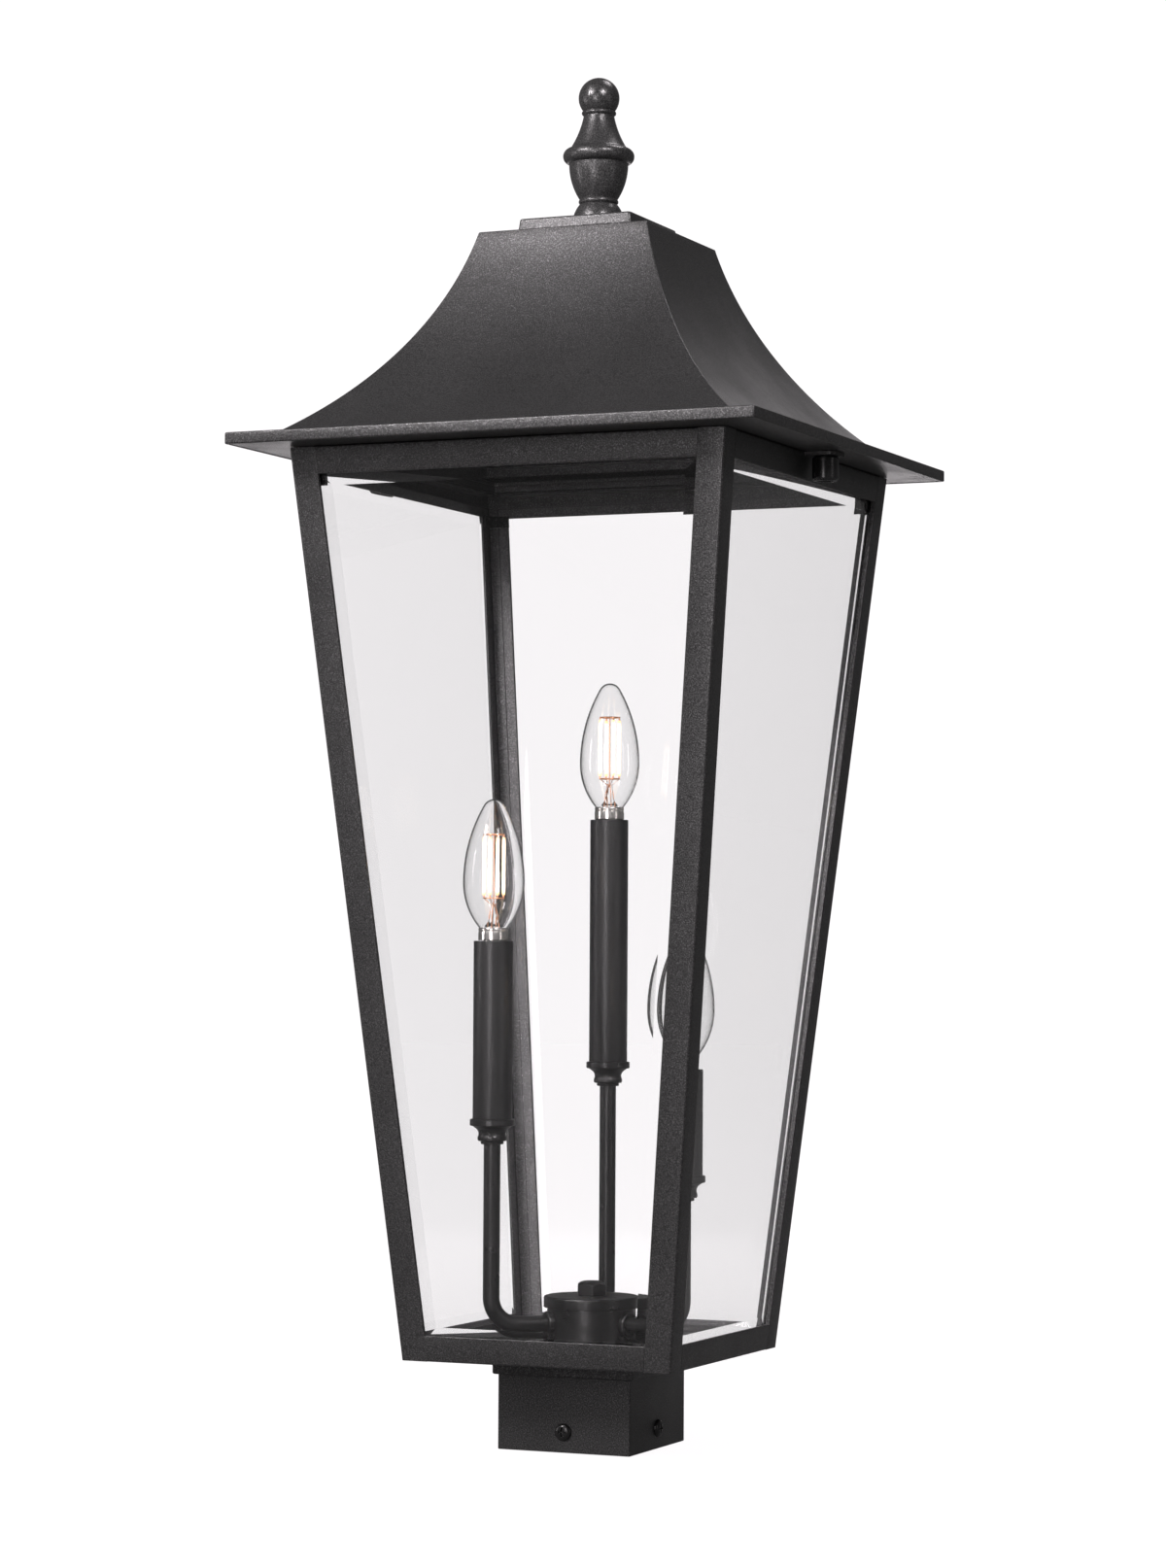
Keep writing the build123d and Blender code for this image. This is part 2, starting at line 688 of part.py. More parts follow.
# ------------------------------------------------------------------ lamps
for name, (turn, rise, length) in candles.items():
    x, y = candle_place(turn)
    lamp_seat = candle_tops[name] + slip
    glass_base = lamp_seat + base_height

    with BuildPart() as bulb_base:
        with BuildSketch(turning(x, y, lamp_seat)):
            with BuildLine():
                Polyline(
                    (base_radius - 0.35, base_height),
                    (0, base_height),
                    (0, -shell_length - contact_length),
                    (contact_radius * 0.6, -shell_length - contact_length),
                    (contact_radius, -shell_length - contact_length * 0.6),
                    (contact_radius, -shell_length),
                    (shell_radius * 0.75, -shell_length),
                    (shell_radius, -shell_length + shell_radius * 0.25),
                    (shell_radius, 0),
                    (base_radius, 0),
                    (base_radius, base_height * 0.68),
                    (base_radius - 0.4, base_height * 0.76),
                )
                ThreePointArc(
                    (base_radius - 0.4, base_height * 0.76),
                    (base_radius + 0.05, base_height * 0.88),
                    (base_radius - 0.35, base_height),
                )
            make_face()
        revolve(axis=upright(x, y))
    bulb_base.part.label = f"bulb_base_{name}"
    export_step(bulb_base.part, f"parts/bulb_base_{name}.step")

    with BuildPart() as bulb_glass:
        with BuildSketch(turning(x, y, glass_base)):
            with BuildLine():
                bulb_outline(0)
            make_face()
        revolve(axis=upright(x, y))
        with BuildSketch(turning(x, y, glass_base)):
            with BuildLine():
                bulb_outline(bulb_wall)
            make_face()
        revolve(axis=upright(x, y), mode=Mode.SUBTRACT)
    bulb_glass.part.label = f"bulb_glass_{name}"
    export_step(bulb_glass.part, f"parts/bulb_glass_{name}.step")

    with BuildPart() as filaments:
        with BuildSketch(turning(x, y, glass_base)):
            with BuildLine():
                Polyline(
                    (stem_neck_radius, stem_height * 0.7),
                    (stem_neck_radius, stem_height),
                    (0, stem_height),
                    (0, 0),
                    (stem_foot_radius, 0),
                    (stem_foot_radius * 0.9, stem_height * 0.12),
                )
                ThreePointArc(
                    (stem_foot_radius * 0.9, stem_height * 0.12),
                    (stem_foot_radius * 0.46, stem_height * 0.4),
                    (stem_neck_radius, stem_height * 0.7),
                )
            make_face()
        revolve(axis=upright(x, y))
        for height in (stem_height, stem_height + spider_metal + filament_length):
            with BuildSketch(Plane.XY.offset(glass_base + height)):
                with Locations((x, y)):
                    Circle(spider_radius)
            extrude(amount=spider_metal)
        with BuildSketch(Plane.XY.offset(glass_base + stem_height)):
            with Locations((x, y)):
                with PolarLocations(filament_ring, 4, start_angle=turn + 20):
                    Circle(filament_radius)
        extrude(amount=filament_length + 1.5 * spider_metal)
    filaments.part.label = f"bulb_filaments_{name}"
    export_step(filaments.part, f"parts/bulb_filaments_{name}.step")

# ------------------------------------------------------------------ eave
with BuildPart() as eave_tray:
    with BuildSketch(Plane.XY.offset(eave_base)):
        RectangleRounded(eave_side, eave_side, eave_rounding)
    extrude(amount=eave_depth)
    fillet(eave_tray.faces().sort_by(Axis.Z)[-1].edges(), eave_rounding * 0.6)
    with BuildSketch(Plane.XY.offset(eave_base)):
        Rectangle(eave_side - 2 * eave_metal, eave_side - 2 * eave_metal)
    extrude(amount=eave_depth - eave_metal, mode=Mode.SUBTRACT)
    with BuildSketch(Plane.XY.offset(eave_ceiling)):
        Rectangle(well_side, well_side)
    extrude(amount=eave_metal, mode=Mode.SUBTRACT)
eave_tray.part.label = "eave_tray"
export_step(eave_tray.part, "parts/eave_tray.step")

soffit_side = eave_side - 2 * eave_metal - 2 * shim
with BuildPart() as eave_soffit:
    with BuildSketch(Plane.XY.offset(soffit_base)):
        Rectangle(soffit_side, soffit_side)
    extrude(amount=soffit_metal)
    with BuildSketch(Plane.XY.offset(soffit_base)):
        Rectangle(well_side + 2 * soffit_metal, well_side + 2 * soffit_metal)
    extrude(amount=eave_ceiling - soffit_base)
    with BuildSketch(Plane.XY.offset(soffit_base)):
        Rectangle(well_side, well_side)
    extrude(amount=eave_depth, mode=Mode.SUBTRACT)
    with Locations((-stud_x, 0, soffit_base), (stud_x, 0, soffit_base)):
        Hole(stud_hole_radius, 2 * soffit_metal)
eave_soffit.part.label = "eave_soffit"
export_step(eave_soffit.part, "parts/eave_soffit.step")

# ------------------------------------------------------------------ roof
with BuildPart() as roof_hollow:
    with BuildSketch(Plane.XZ.offset(-roof_base_side / 2)) as hollow_front:
        with BuildLine():
            roof_outline(roof_height - roof_metal, roof_metal)
        make_face()
    extrude(amount=roof_base_side)
    with BuildSketch(Plane.YZ.offset(-roof_base_side / 2)):
        with BuildLine():
            roof_outline(roof_height - roof_metal, roof_metal)
        make_face()
    extrude(amount=roof_base_side, mode=Mode.INTERSECT)

with BuildPart() as roof_block:
    with BuildSketch(Plane.XZ.offset(-roof_base_side / 2)):
        with BuildLine():
            roof_outline(roof_height, 0)
        make_face()
    extrude(amount=roof_base_side)
    with BuildSketch(Plane.YZ.offset(-roof_base_side / 2)):
        with BuildLine():
            roof_outline(roof_height, 0)
        make_face()
    extrude(amount=roof_base_side, mode=Mode.INTERSECT)

with BuildPart() as roof_shell:
    with Locations((0, 0, eave_top)):
        add(roof_block.part)
        add(roof_hollow.part, mode=Mode.SUBTRACT)
    with Locations((0, 0, roof_top)):
        Hole(rod_radius + play, 2 * roof_metal)
roof_shell.part.label = "roof_shell"
export_step(roof_shell.part, "parts/roof_shell.step")

with BuildPart() as cap_plate:
    with BuildSketch(Plane.XY.offset(roof_top)):
        RectangleRounded(cap_plate_side, cap_plate_side, cap_plate_rounding)
    extrude(amount=cap_plate_height)
    fillet(cap_plate.faces().sort_by(Axis.Z)[-1].edges(), cap_plate_rounding * 0.9)
    with Locations((0, 0, roof_top)):
        Hole(rod_radius + play)
cap_plate.part.label = "cap_plate"
export_step(cap_plate.part, "parts/cap_plate.step")

# ------------------------------------------------------------------ finial
foot_top = finial_height * 0.132
ring_top = finial_height * 0.168
urn_top = finial_height * 0.41
torus_top = finial_height * 0.516
bell_top = finial_height * 0.74
bead_top = finial_height * 0.774
with BuildPart() as finial:
    with BuildSketch(turning(0, 0, finial_base)):
        with BuildLine():
            Line((0, 0), (foot_radius, 0))
            foot_curve = (foot_radius * 0.925, foot_top * 0.6), (foot_radius * 0.747, foot_top)
            ThreePointArc((foot_radius, 0), *foot_curve)
            Line((foot_radius * 0.747, foot_top), (ring_radius - 1, foot_top + 0.5))
            ThreePointArc(
                (ring_radius - 1, foot_top + 0.5),
                (ring_radius, (foot_top + 0.5 + ring_top) / 2),
                (ring_radius - 0.6, ring_top),
            )
            ThreePointArc(
                (ring_radius - 0.6, ring_top),
                (urn_radius * 0.93, ring_top + (urn_top - ring_top) * 0.55),
                (urn_radius, urn_top),
            )
            ThreePointArc(
                (urn_radius, urn_top),
                (torus_radius, (urn_top + torus_top) / 2),
                (urn_radius - 0.6, torus_top),
            )
            ThreePointArc(
                (urn_radius - 0.6, torus_top),
                (neck_radius + 3.6, torus_top + (bell_top - torus_top) * 0.4),
                (neck_radius, bell_top),
            )
            ThreePointArc(
                (neck_radius, bell_top),
                (neck_radius + 1.15, (bell_top + bead_top) / 2),
                (neck_radius + 0.3, bead_top),
            )
            dip = degrees(acos((neck_radius + 0.5) / ball_radius))
            ball = CenterArc((0, finial_height - ball_radius), ball_radius, -dip, dip + 90)
            Line((neck_radius + 0.3, bead_top), ball @ 0)
            Line(ball @ 1, (0, 0))
        make_face()
    revolve(axis=upright(0, 0))
    with Locations((0, 0, finial_base)):
        Hole(rod_radius + play, rod_in_finial + slip)
finial.part.label = "finial"
export_step(finial.part, "parts/finial.step")

with BuildPart() as finial_rod:
    with BuildSketch(Plane.XY.offset(finial_base + rod_in_finial)):
        Circle(rod_radius)
    extrude(amount=-rod_in_finial - cap_plate_height - roof_metal - rod_below_roof)
    with BuildSketch(Plane.XY.offset(roof_top - roof_metal)):
        RegularPolygon(rod_nut_flats / sqrt(3), 6)
        Circle(rod_radius + play, mode=Mode.SUBTRACT)
    extrude(amount=-rod_nut_height)
finial_rod.part.label = "finial_rod"
export_step(finial_rod.part, "parts/finial_rod.step")

# ------------------------------------------------------------------ tabs, studs and cap nuts of the roof
with BuildPart() as roof_tabs:
    for way in (-1, 1):
        tab_base = cage_top - tab_metal
        tab_end = way * (cage_top_side / 2 + tab_reach)
        with BuildSketch(Plane.XZ.offset(-tab_width / 2)):
            with BuildLine():
                Polyline(
                    (way * cage_half(tab_base), tab_base),
                    (way * cage_half(cage_top), cage_top),
                    (tab_end, cage_top),
                    (tab_end, tab_base),
                    close=True,
                )
            make_face()
        extrude(amount=tab_width)
    fillet(roof_tabs.edges().filter_by(Axis.Z), tab_rounding)
    with Locations((-stud_x, 0, cage_top), (stud_x, 0, cage_top)):
        Hole(stud_hole_radius, 2 * tab_metal)
roof_tabs.part.label = "roof_tabs"
export_step(roof_tabs.part, "parts/roof_tabs.step")

with BuildPart() as roof_studs:
    with BuildSketch(Plane.XY.offset(eave_ceiling)):
        with Locations((-stud_x, 0), (stud_x, 0)):
            Circle(stud_foot_radius)
    extrude(amount=-stud_foot)
    with BuildSketch(Plane.XY.offset(eave_ceiling)):
        with Locations((-stud_x, 0), (stud_x, 0)):
            Circle(stud_radius)
    extrude(amount=stud_tip - eave_ceiling)
roof_studs.part.label = "roof_studs"
export_step(roof_studs.part, "parts/roof_studs.step")

for side, x in {"left": -stud_x, "right": stud_x}.items():
    with BuildPart() as cap_nut:
        with BuildSketch(turning(x, 0, cap_nut_base)):
            with BuildLine():
                Polyline(
                    (0, cap_nut_floor / 2),
                    (cap_nut_radius * 0.6, cap_nut_floor / 2),
                    (cap_nut_radius * 0.7, 0),
                    (cap_nut_radius - cap_nut_chamfer, 0),
                    (cap_nut_radius, cap_nut_chamfer),
                    (cap_nut_radius, cap_nut_height - cap_nut_chamfer / 2),
                    (cap_nut_radius - cap_nut_chamfer / 2, cap_nut_height),
                    (stud_radius + play, cap_nut_height),
                    (stud_radius + play, cap_nut_floor),
                    (0, cap_nut_floor),
                    close=True,
                )
            make_face()
        revolve(axis=upright(x, 0))
    cap_nut.part.label = f"cap_nut_{side}"
    export_step(cap_nut.part, f"parts/cap_nut_{side}.step")
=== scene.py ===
# %% [markdown]
# A post top lantern: a black sheet-metal cage that widens upward, four bevelled panes, a hollow-sided roof
# with a turned finial, and three candle lamps of stepped height on curved arms. The construction comes from
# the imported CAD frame, and this file gives it its surfaces: each piece is a mesh worked out with numpy that
# stands for one CAD node, and takes its place and size from that node's box.

import json
import math

import bmesh
import bpy
import numpy as np
from mathutils import Matrix, Vector

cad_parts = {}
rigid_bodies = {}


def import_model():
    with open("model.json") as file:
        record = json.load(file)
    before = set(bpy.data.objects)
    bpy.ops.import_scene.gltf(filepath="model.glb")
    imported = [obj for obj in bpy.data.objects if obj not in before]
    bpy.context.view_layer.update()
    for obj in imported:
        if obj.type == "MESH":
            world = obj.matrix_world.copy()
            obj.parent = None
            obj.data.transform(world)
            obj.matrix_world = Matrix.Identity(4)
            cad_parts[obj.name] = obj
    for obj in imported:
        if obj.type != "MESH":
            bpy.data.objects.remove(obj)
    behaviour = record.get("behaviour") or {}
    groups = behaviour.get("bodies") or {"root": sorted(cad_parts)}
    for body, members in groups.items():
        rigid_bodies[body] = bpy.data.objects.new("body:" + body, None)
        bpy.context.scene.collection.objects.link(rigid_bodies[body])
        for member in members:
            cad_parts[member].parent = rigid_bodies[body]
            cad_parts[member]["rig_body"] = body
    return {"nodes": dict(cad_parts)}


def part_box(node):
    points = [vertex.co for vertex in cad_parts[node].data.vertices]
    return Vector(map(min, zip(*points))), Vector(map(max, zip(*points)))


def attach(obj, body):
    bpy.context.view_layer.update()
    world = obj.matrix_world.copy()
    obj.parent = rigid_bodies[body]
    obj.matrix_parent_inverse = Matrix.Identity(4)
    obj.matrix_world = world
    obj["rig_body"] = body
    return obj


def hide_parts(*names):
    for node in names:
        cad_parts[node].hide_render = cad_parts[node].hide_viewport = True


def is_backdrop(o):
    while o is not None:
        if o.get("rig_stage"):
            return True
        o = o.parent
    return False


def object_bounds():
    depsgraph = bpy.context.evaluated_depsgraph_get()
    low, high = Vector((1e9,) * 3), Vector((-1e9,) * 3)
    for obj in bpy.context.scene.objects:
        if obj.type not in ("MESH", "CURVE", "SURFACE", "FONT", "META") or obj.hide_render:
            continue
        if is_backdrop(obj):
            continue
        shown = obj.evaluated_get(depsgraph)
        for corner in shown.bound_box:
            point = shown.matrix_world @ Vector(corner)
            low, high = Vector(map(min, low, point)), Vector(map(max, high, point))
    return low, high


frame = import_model()
frame_low, frame_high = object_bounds()
mm = 0.001
print("size in mm", [round(size / mm, 1) for size in frame_high - frame_low])

# %% [markdown]
# Every finish on the lantern is a small graph of shader nodes. A helper that adds a node, sets its inputs by
# name and returns it keeps each graph short enough to read, and one function starts every material with the
# surface shader, so a finish only adds what makes it different.


# %% Helpers for shader graphs
def new_finish(name, **inputs):
    """Make a material whose surface shader has these inputs, and return the material and its shader."""
    material = bpy.data.materials.new(name)
    material.use_nodes = True
    shader = material.node_tree.nodes["Principled BSDF"]
    for key, value in inputs.items():
        shader.inputs[key.replace("_", " ")].default_value = value
    return material, shader


def add_node(material, kind, settings=None, **inputs):
    """Add a shader node; inputs are numbers, colours or the sockets that feed them."""
    tree = material.node_tree
    node = tree.nodes.new("ShaderNode" + kind)
    for key, value in (settings or {}).items():
        setattr(node, key, value)
    for key, value in inputs.items():
        socket = node.inputs[key.replace("_", " ")]
        if isinstance(value, bpy.types.NodeSocket):
            tree.links.new(value, socket)
        else:
            socket.default_value = value
    return node


def object_place(material):
    """The socket that gives each surface point its place in the frame, in metres."""
    return add_node(material, "TexCoord").outputs["Object"]


def rescale(material, value, low, high, start=0.0, end=1.0):
    """Carry a value from the range start to end over to the range low to high, and return the socket."""
    span = {"From_Min": start, "From_Max": end, "To_Min": low, "To_Max": high}
    return add_node(material, "MapRange", Value=value, **span).outputs["Result"]


def ramp(material, factor, *stops):
    """A colour ramp fed by factor; each stop is (position, grey) or (position, colour)."""
    node = add_node(material, "ValToRGB", Fac=factor)
    elements = node.color_ramp.elements
    while len(elements) < len(stops):
        elements.new(0.5)
    for element, (position, shade) in zip(elements, stops):
        element.position = position
        element.color = (shade, shade, shade, 1) if isinstance(shade, (int, float)) else (*shade, 1)
    return node.outputs["Color"]


helpers = (new_finish, add_node, object_place, rescale, ramp)
print("shader helpers:", *(helper.__name__ for helper in helpers))


# %% [markdown]
# The cage, the roof and the collar are powder coated with a sand finish: black paint with grains under half
# a millimetre that catch the light one by one, so a lit slope looks grey and speckled and the rest nearly
# black. One fine noise gives the grain its height and turns its peaks into metallic flecks, and a slow one
# lets the gloss wander a little, as sprayed powder does. Grain made from height looks right from every side.
# The cast finial wears the same coat with lower grains, because its small curves show a longer highlight.


# %% Sand-textured powder coat
def sand_coat(name, tone, roughness, grain_height, fleck):
    """Black powder coat: one noise makes grain and metallic flecks, a slow one makes the gloss uneven."""
    material, shader = new_finish(name, Roughness=roughness)
    tree = material.node_tree
    place = object_place(material)
    fine = add_node(material, "TexNoise", Vector=place, Scale=1400, Detail=2, Roughness=0.55)
    drift = add_node(material, "TexNoise", Vector=place, Scale=22, Detail=3, Roughness=0.55)
    grain, peak = fine.outputs["Fac"], (0.44, 0.60, 0.72)
    bump = add_node(material, "Bump", Height=grain, Strength=1.0, Distance=grain_height)
    tree.links.new(bump.outputs["Normal"], shader.inputs["Normal"])
    shade = ramp(material, grain, (peak[0], tone), (peak[1], tone + fleck * 0.5), (peak[2], tone + fleck))
    tree.links.new(shade, shader.inputs["Base Color"])
    metal = rescale(material, grain, 0.0, 0.9, peak[0], peak[1])
    tree.links.new(metal, shader.inputs["Metallic"])
    gloss = rescale(material, drift.outputs["Fac"], roughness - 0.05, roughness + 0.05, 0.3, 0.7)
    tree.links.new(gloss, shader.inputs["Roughness"])
    return material


powder_coat = sand_coat("sand_powder_coat", 0.010, 0.37, 0.00014, 0.17)
finial_coat = sand_coat("finial_powder_coat", 0.012, 0.32, 0.00005, 0.24)
print("powder coats:", powder_coat.name, finial_coat.name)

# %% [markdown]
# The candle sleeves carry a smooth satin black. It is the same paint without the sand, so it keeps long soft
# highlights. A faint orange-peel ripple, a few millimetres across, stops it from looking like plastic film.
# The cups, arms and hub are a little glossier, and so are the screws and cap nuts.


# %% Smooth black finishes
def smooth_black(name, tone, roughness, ripple):
    """Satin black paint: a slow ripple bends the highlights and a finer noise varies the gloss."""
    material, shader = new_finish(name, Base_Color=(tone, tone, tone, 1), Roughness=roughness)
    tree = material.node_tree
    place = object_place(material)
    peel = add_node(material, "TexNoise", Vector=place, Scale=420, Detail=2, Roughness=0.5)
    bump = add_node(material, "Bump", Height=peel.outputs["Fac"], Strength=ripple, Distance=0.0001)
    tree.links.new(bump.outputs["Normal"], shader.inputs["Normal"])
    wear = add_node(material, "TexNoise", Vector=place, Scale=90, Detail=4, Roughness=0.6)
    gloss = rescale(material, wear.outputs["Fac"], roughness - 0.04, roughness + 0.05, 0.3, 0.7)
    tree.links.new(gloss, shader.inputs["Roughness"])
    return material


satin_black = smooth_black("satin_black", 0.005, 0.34, 0.10)
arm_black = smooth_black("arm_black", 0.004, 0.30, 0.04)
hardware_black = smooth_black("black_hardware", 0.008, 0.25, 0.15)
print("smooth blacks:", satin_black.name, arm_black.name, hardware_black.name)

# %% [markdown]
# Panes and lamp envelopes are clear glass, and both are modelled as solids with two real skins, because the
# light bends at each skin: that is what turns a bevel into a bright line. The panes are colourless float
# glass, and the blown lamp glass has a slight waviness, as a thin blown wall does.

# %% Glass
pane_glass, _ = new_finish(
    "clear_pane_glass", Base_Color=(0.995, 0.993, 0.995, 1), Roughness=0.0, IOR=1.45, Transmission_Weight=1.0
)
lamp_glass, lamp_shader = new_finish(
    "clear_lamp_glass", Base_Color=(1, 1, 1, 1), Roughness=0.0, IOR=1.47, Transmission_Weight=1.0
)
wave = add_node(lamp_glass, "TexNoise", Vector=object_place(lamp_glass), Scale=60, Detail=1)
wave_bump = add_node(lamp_glass, "Bump", Height=wave.outputs["Fac"], Strength=0.05, Distance=0.001)
lamp_glass.node_tree.links.new(wave_bump.outputs["Normal"], lamp_shader.inputs["Normal"])
print("glass:", pane_glass.name, lamp_glass.name)

# %% [markdown]
# The lamp's cap is bright nickel with fine rolling lines round it, the filaments are pale sticks that glow
# warm white and end in orange tips, and their wires are copper coated steel. The clip and rod hardware is
# zinc plated, and the lamp holders are moulded black plastic.


# %% Metals, filament and plastic
def plated(name, colour, roughness, line_scale):
    """Plated metal: noise stretched along the height draws fine rolling lines in height and gloss."""
    material, shader = new_finish(name, Base_Color=(*colour, 1), Metallic=1.0, Roughness=roughness)
    tree = material.node_tree
    squeeze = add_node(material, "Mapping", Vector=object_place(material), Scale=(30, 30, line_scale))
    lines = add_node(material, "TexNoise", Vector=squeeze.outputs["Vector"], Scale=1, Detail=3)
    bump = add_node(material, "Bump", Height=lines.outputs["Fac"], Strength=0.12, Distance=0.0001)
    tree.links.new(bump.outputs["Normal"], shader.inputs["Normal"])
    gloss = rescale(material, lines.outputs["Fac"], roughness * 0.7, roughness * 1.4)
    tree.links.new(gloss, shader.inputs["Roughness"])
    return material


nickel = plated("bright_nickel", (0.86, 0.84, 0.80), 0.20, 1800)
zinc = plated("zinc_plate", (0.50, 0.51, 0.53), 0.34, 900)
copper = plated("copper_wire", (0.80, 0.42, 0.26), 0.28, 900)
holder_plastic = smooth_black("holder_plastic", 0.02, 0.5, 0.4)
print("plated:", nickel.name, zinc.name, copper.name, "and", holder_plastic.name)

# %% [markdown]
# Turned, pressed and folded pieces can all be written as a grid of points: one direction follows a section,
# the other goes round an axis, round a square or along the piece. Working the points out as whole arrays is
# quick and exact, so the next cells hold the few functions that every piece below is made with. First come
# the faces of such a grid, and the two ways a section gets its round parts.


# %% Grids and sections
def grid_faces(rows, columns, close_rows=True, close_columns=True):
    """Four-sided faces of a grid numbered row by row; a closed direction joins its last line to its first."""
    row = np.arange(rows if close_rows else rows - 1)
    column = np.arange(columns if close_columns else columns - 1)
    row, column = np.meshgrid(row, column, indexing="ij")
    next_row, next_column = (row + 1) % rows, (column + 1) % columns
    corners = [row * columns + column, row * columns + next_column]
    corners += [next_row * columns + next_column, next_row * columns + column]
    return np.stack(corners, -1).reshape(-1, 4).tolist()


def eased(points, radius, steps=4):
    """Round each corner of a closed outline: a parabola from a cut before the corner to a cut after it."""
    points = np.asarray(points, float)
    before, after = np.roll(points, 1, 0) - points, np.roll(points, -1, 0) - points
    before_length = np.maximum(np.linalg.norm(before, axis=1), 1e-9)
    after_length = np.maximum(np.linalg.norm(after, axis=1), 1e-9)
    radius = np.broadcast_to(np.asarray(radius, float), len(points))
    cut = np.minimum(radius, 0.48 * np.minimum(before_length, after_length))[:, None]
    start = points + before / before_length[:, None] * cut
    end = points + after / after_length[:, None] * cut
    step = np.linspace(0, 1, steps + 1)[None, :, None]
    curve = (1 - step) ** 2 * start[:, None] + 2 * step * (1 - step) * points[:, None]
    return (curve + step**2 * end[:, None]).reshape(-1, 2)


def arc(centre, radius, start, end, count=12):
    """Points on a circle from one angle to another, in degrees."""
    angle = np.radians(np.linspace(start, end, count))
    return np.stack([centre[0] + radius * np.cos(angle), centre[1] + radius * np.sin(angle)], -1)


print("faces of a closed grid of 4 by 5 points:", len(grid_faces(4, 5)))

# %% [markdown]
# A section is carried in two ways. Round an upright axis it gives what a lathe makes: finial, sleeves, cups.
# Round a square it gives what is folded or pressed square, such as collar, eave and roof, and there a small
# corner radius stands for the bend of the sheet. What the front face has is then turned to the other faces.


# %% Turned and squared shapes
def turned(section, centre, segments=96):
    """A closed section of (radius, height) points carried round the upright axis through centre."""
    section = np.asarray(section, float)
    angle = np.linspace(0, 2 * np.pi, segments, endpoint=False)
    radius, height = section[:, 0, None], section[:, 1, None]
    x = centre[0] + radius * np.cos(angle)
    y = centre[1] + radius * np.sin(angle)
    z = centre[2] + height + 0 * angle
    return np.stack([x, y, z], -1).reshape(-1, 3), grid_faces(len(section), segments)


def squared(section, corner, steps=5):
    """A closed section of (half width, height) points carried round a square whose corners have a radius."""
    section = np.asarray(section, float)
    half, height = section[:, 0, None], section[:, 1, None]
    quarter = np.repeat(np.arange(4), steps + 1)
    angle = np.radians(quarter * 90 + np.tile(np.linspace(0, 90, steps + 1), 4))
    sign_x = np.sign(np.cos(np.radians(quarter * 90 + 45)))
    sign_y = np.sign(np.sin(np.radians(quarter * 90 + 45)))
    radius = np.minimum(corner, half)
    x = sign_x * (half - radius) + radius * np.cos(angle)
    y = sign_y * (half - radius) + radius * np.sin(angle)
    z = height + 0 * angle
    return np.stack([x, y, z], -1).reshape(-1, 3), grid_faces(len(section), 4 * (steps + 1))


def spun(points, turn):
    """Turn points about the lantern's axis, in degrees."""
    angle = np.radians(turn)
    spin = np.array([[np.cos(angle), np.sin(angle), 0], [-np.sin(angle), np.cos(angle), 0], [0, 0, 1]])
    return np.asarray(points, float) @ spin


print("points of one corner turned round the axis:", len(turned([(1, 0)], (0, 0, 0))[0]))

# %% [markdown]
# A piece's shells become one mesh. Points that lie on each other are merged before the normals are worked
# out, so the skin is closed and every face points outwards. The piece then rides on the moving body of its
# CAD node, and that node is hidden. A bevel modifier rounds cut edges that no section follows.


def new_piece(name, node, finish, *shells, smooth=34):
    """Put shells of (points, faces) in one mesh, close its seams, and let it stand for a CAD node."""
    points = np.concatenate([shell[0] for shell in shells])
    starts = np.cumsum([0] + [len(shell[0]) for shell in shells])
    faces = [[start + corner for corner in face] for start, shell in zip(starts, shells) for face in shell[1]]
    mesh = bpy.data.meshes.new(name)
    mesh.from_pydata(points.tolist(), [], faces)
    work = bmesh.new()
    work.from_mesh(mesh)
    bmesh.ops.remove_doubles(work, verts=work.verts, dist=2e-7)
    bmesh.ops.recalc_face_normals(work, faces=work.faces)
    work.to_mesh(mesh)
    work.free()
    mesh.polygons.foreach_set("use_smooth", np.ones(len(mesh.polygons), bool))
    mesh.set_sharp_from_angle(angle=math.radians(smooth))
    mesh.materials.append(finish)
    piece = bpy.data.objects.new(name, mesh)
    bpy.context.scene.collection.objects.link(piece)
    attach(piece, frame["nodes"][node]["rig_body"])
    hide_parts(node)
    return piece


def soften(piece, width, segments=2, angle=50):
    """Round a piece's sharp edges with a live bevel of this width."""
    bevel = piece.modifiers.new("soft_edges", "BEVEL")
    bevel.width = width
    bevel.segments = segments
    bevel.limit_method = "ANGLE"
    bevel.angle_limit = math.radians(angle)
    bevel.harden_normals = True
    return piece


def box_sizes(node):
    """A CAD node's lowest and highest corner as two arrays, in metres."""
    low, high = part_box(node)
    return np.array(low), np.array(high)


# %% [markdown]
# The cage is a truncated pyramid, so one straight line gives its half width at every height. Two CAD boxes
# are enough to find that line: the top of a post, and the upper edge of the front bottom rail. Everything
# that lies on the sloping faces takes its place from it.

# %% The cage's slope
post_low, post_high = box_sizes("corner_post_front_right")
rail_low, rail_high = box_sizes("bottom_rail_front")
top_rail_low, _ = box_sizes("top_rail_front")
cage_slope = (post_high[0] + rail_low[1]) / (post_high[2] - rail_high[2])
cage_base, cage_top = post_low[2], post_high[2]
post_face = -rail_low[1] - rail_high[0]
sheet = 2.5 * mm


def cage_half(z):
    """Half the cage's width at height z: a straight line through the top edge's half width."""
    return post_high[0] - cage_slope * (post_high[2] - z)


print("slope", round(float(np.degrees(np.arctan(cage_slope))), 2), "degrees from upright")
widths = [round(cage_half(z) / mm, 1) for z in (cage_base, cage_top)]
print("half width in mm, base and top:", *widths)

# %% [markdown]
# Each corner post is one strip of steel folded to an angle, with a fold radius of about a millimetre that
# draws a thin light line down the corner. Its section is an L, and the post is that L carried from the
# cage's lower edge to its upper edge. A live bevel rounds the cut ends.


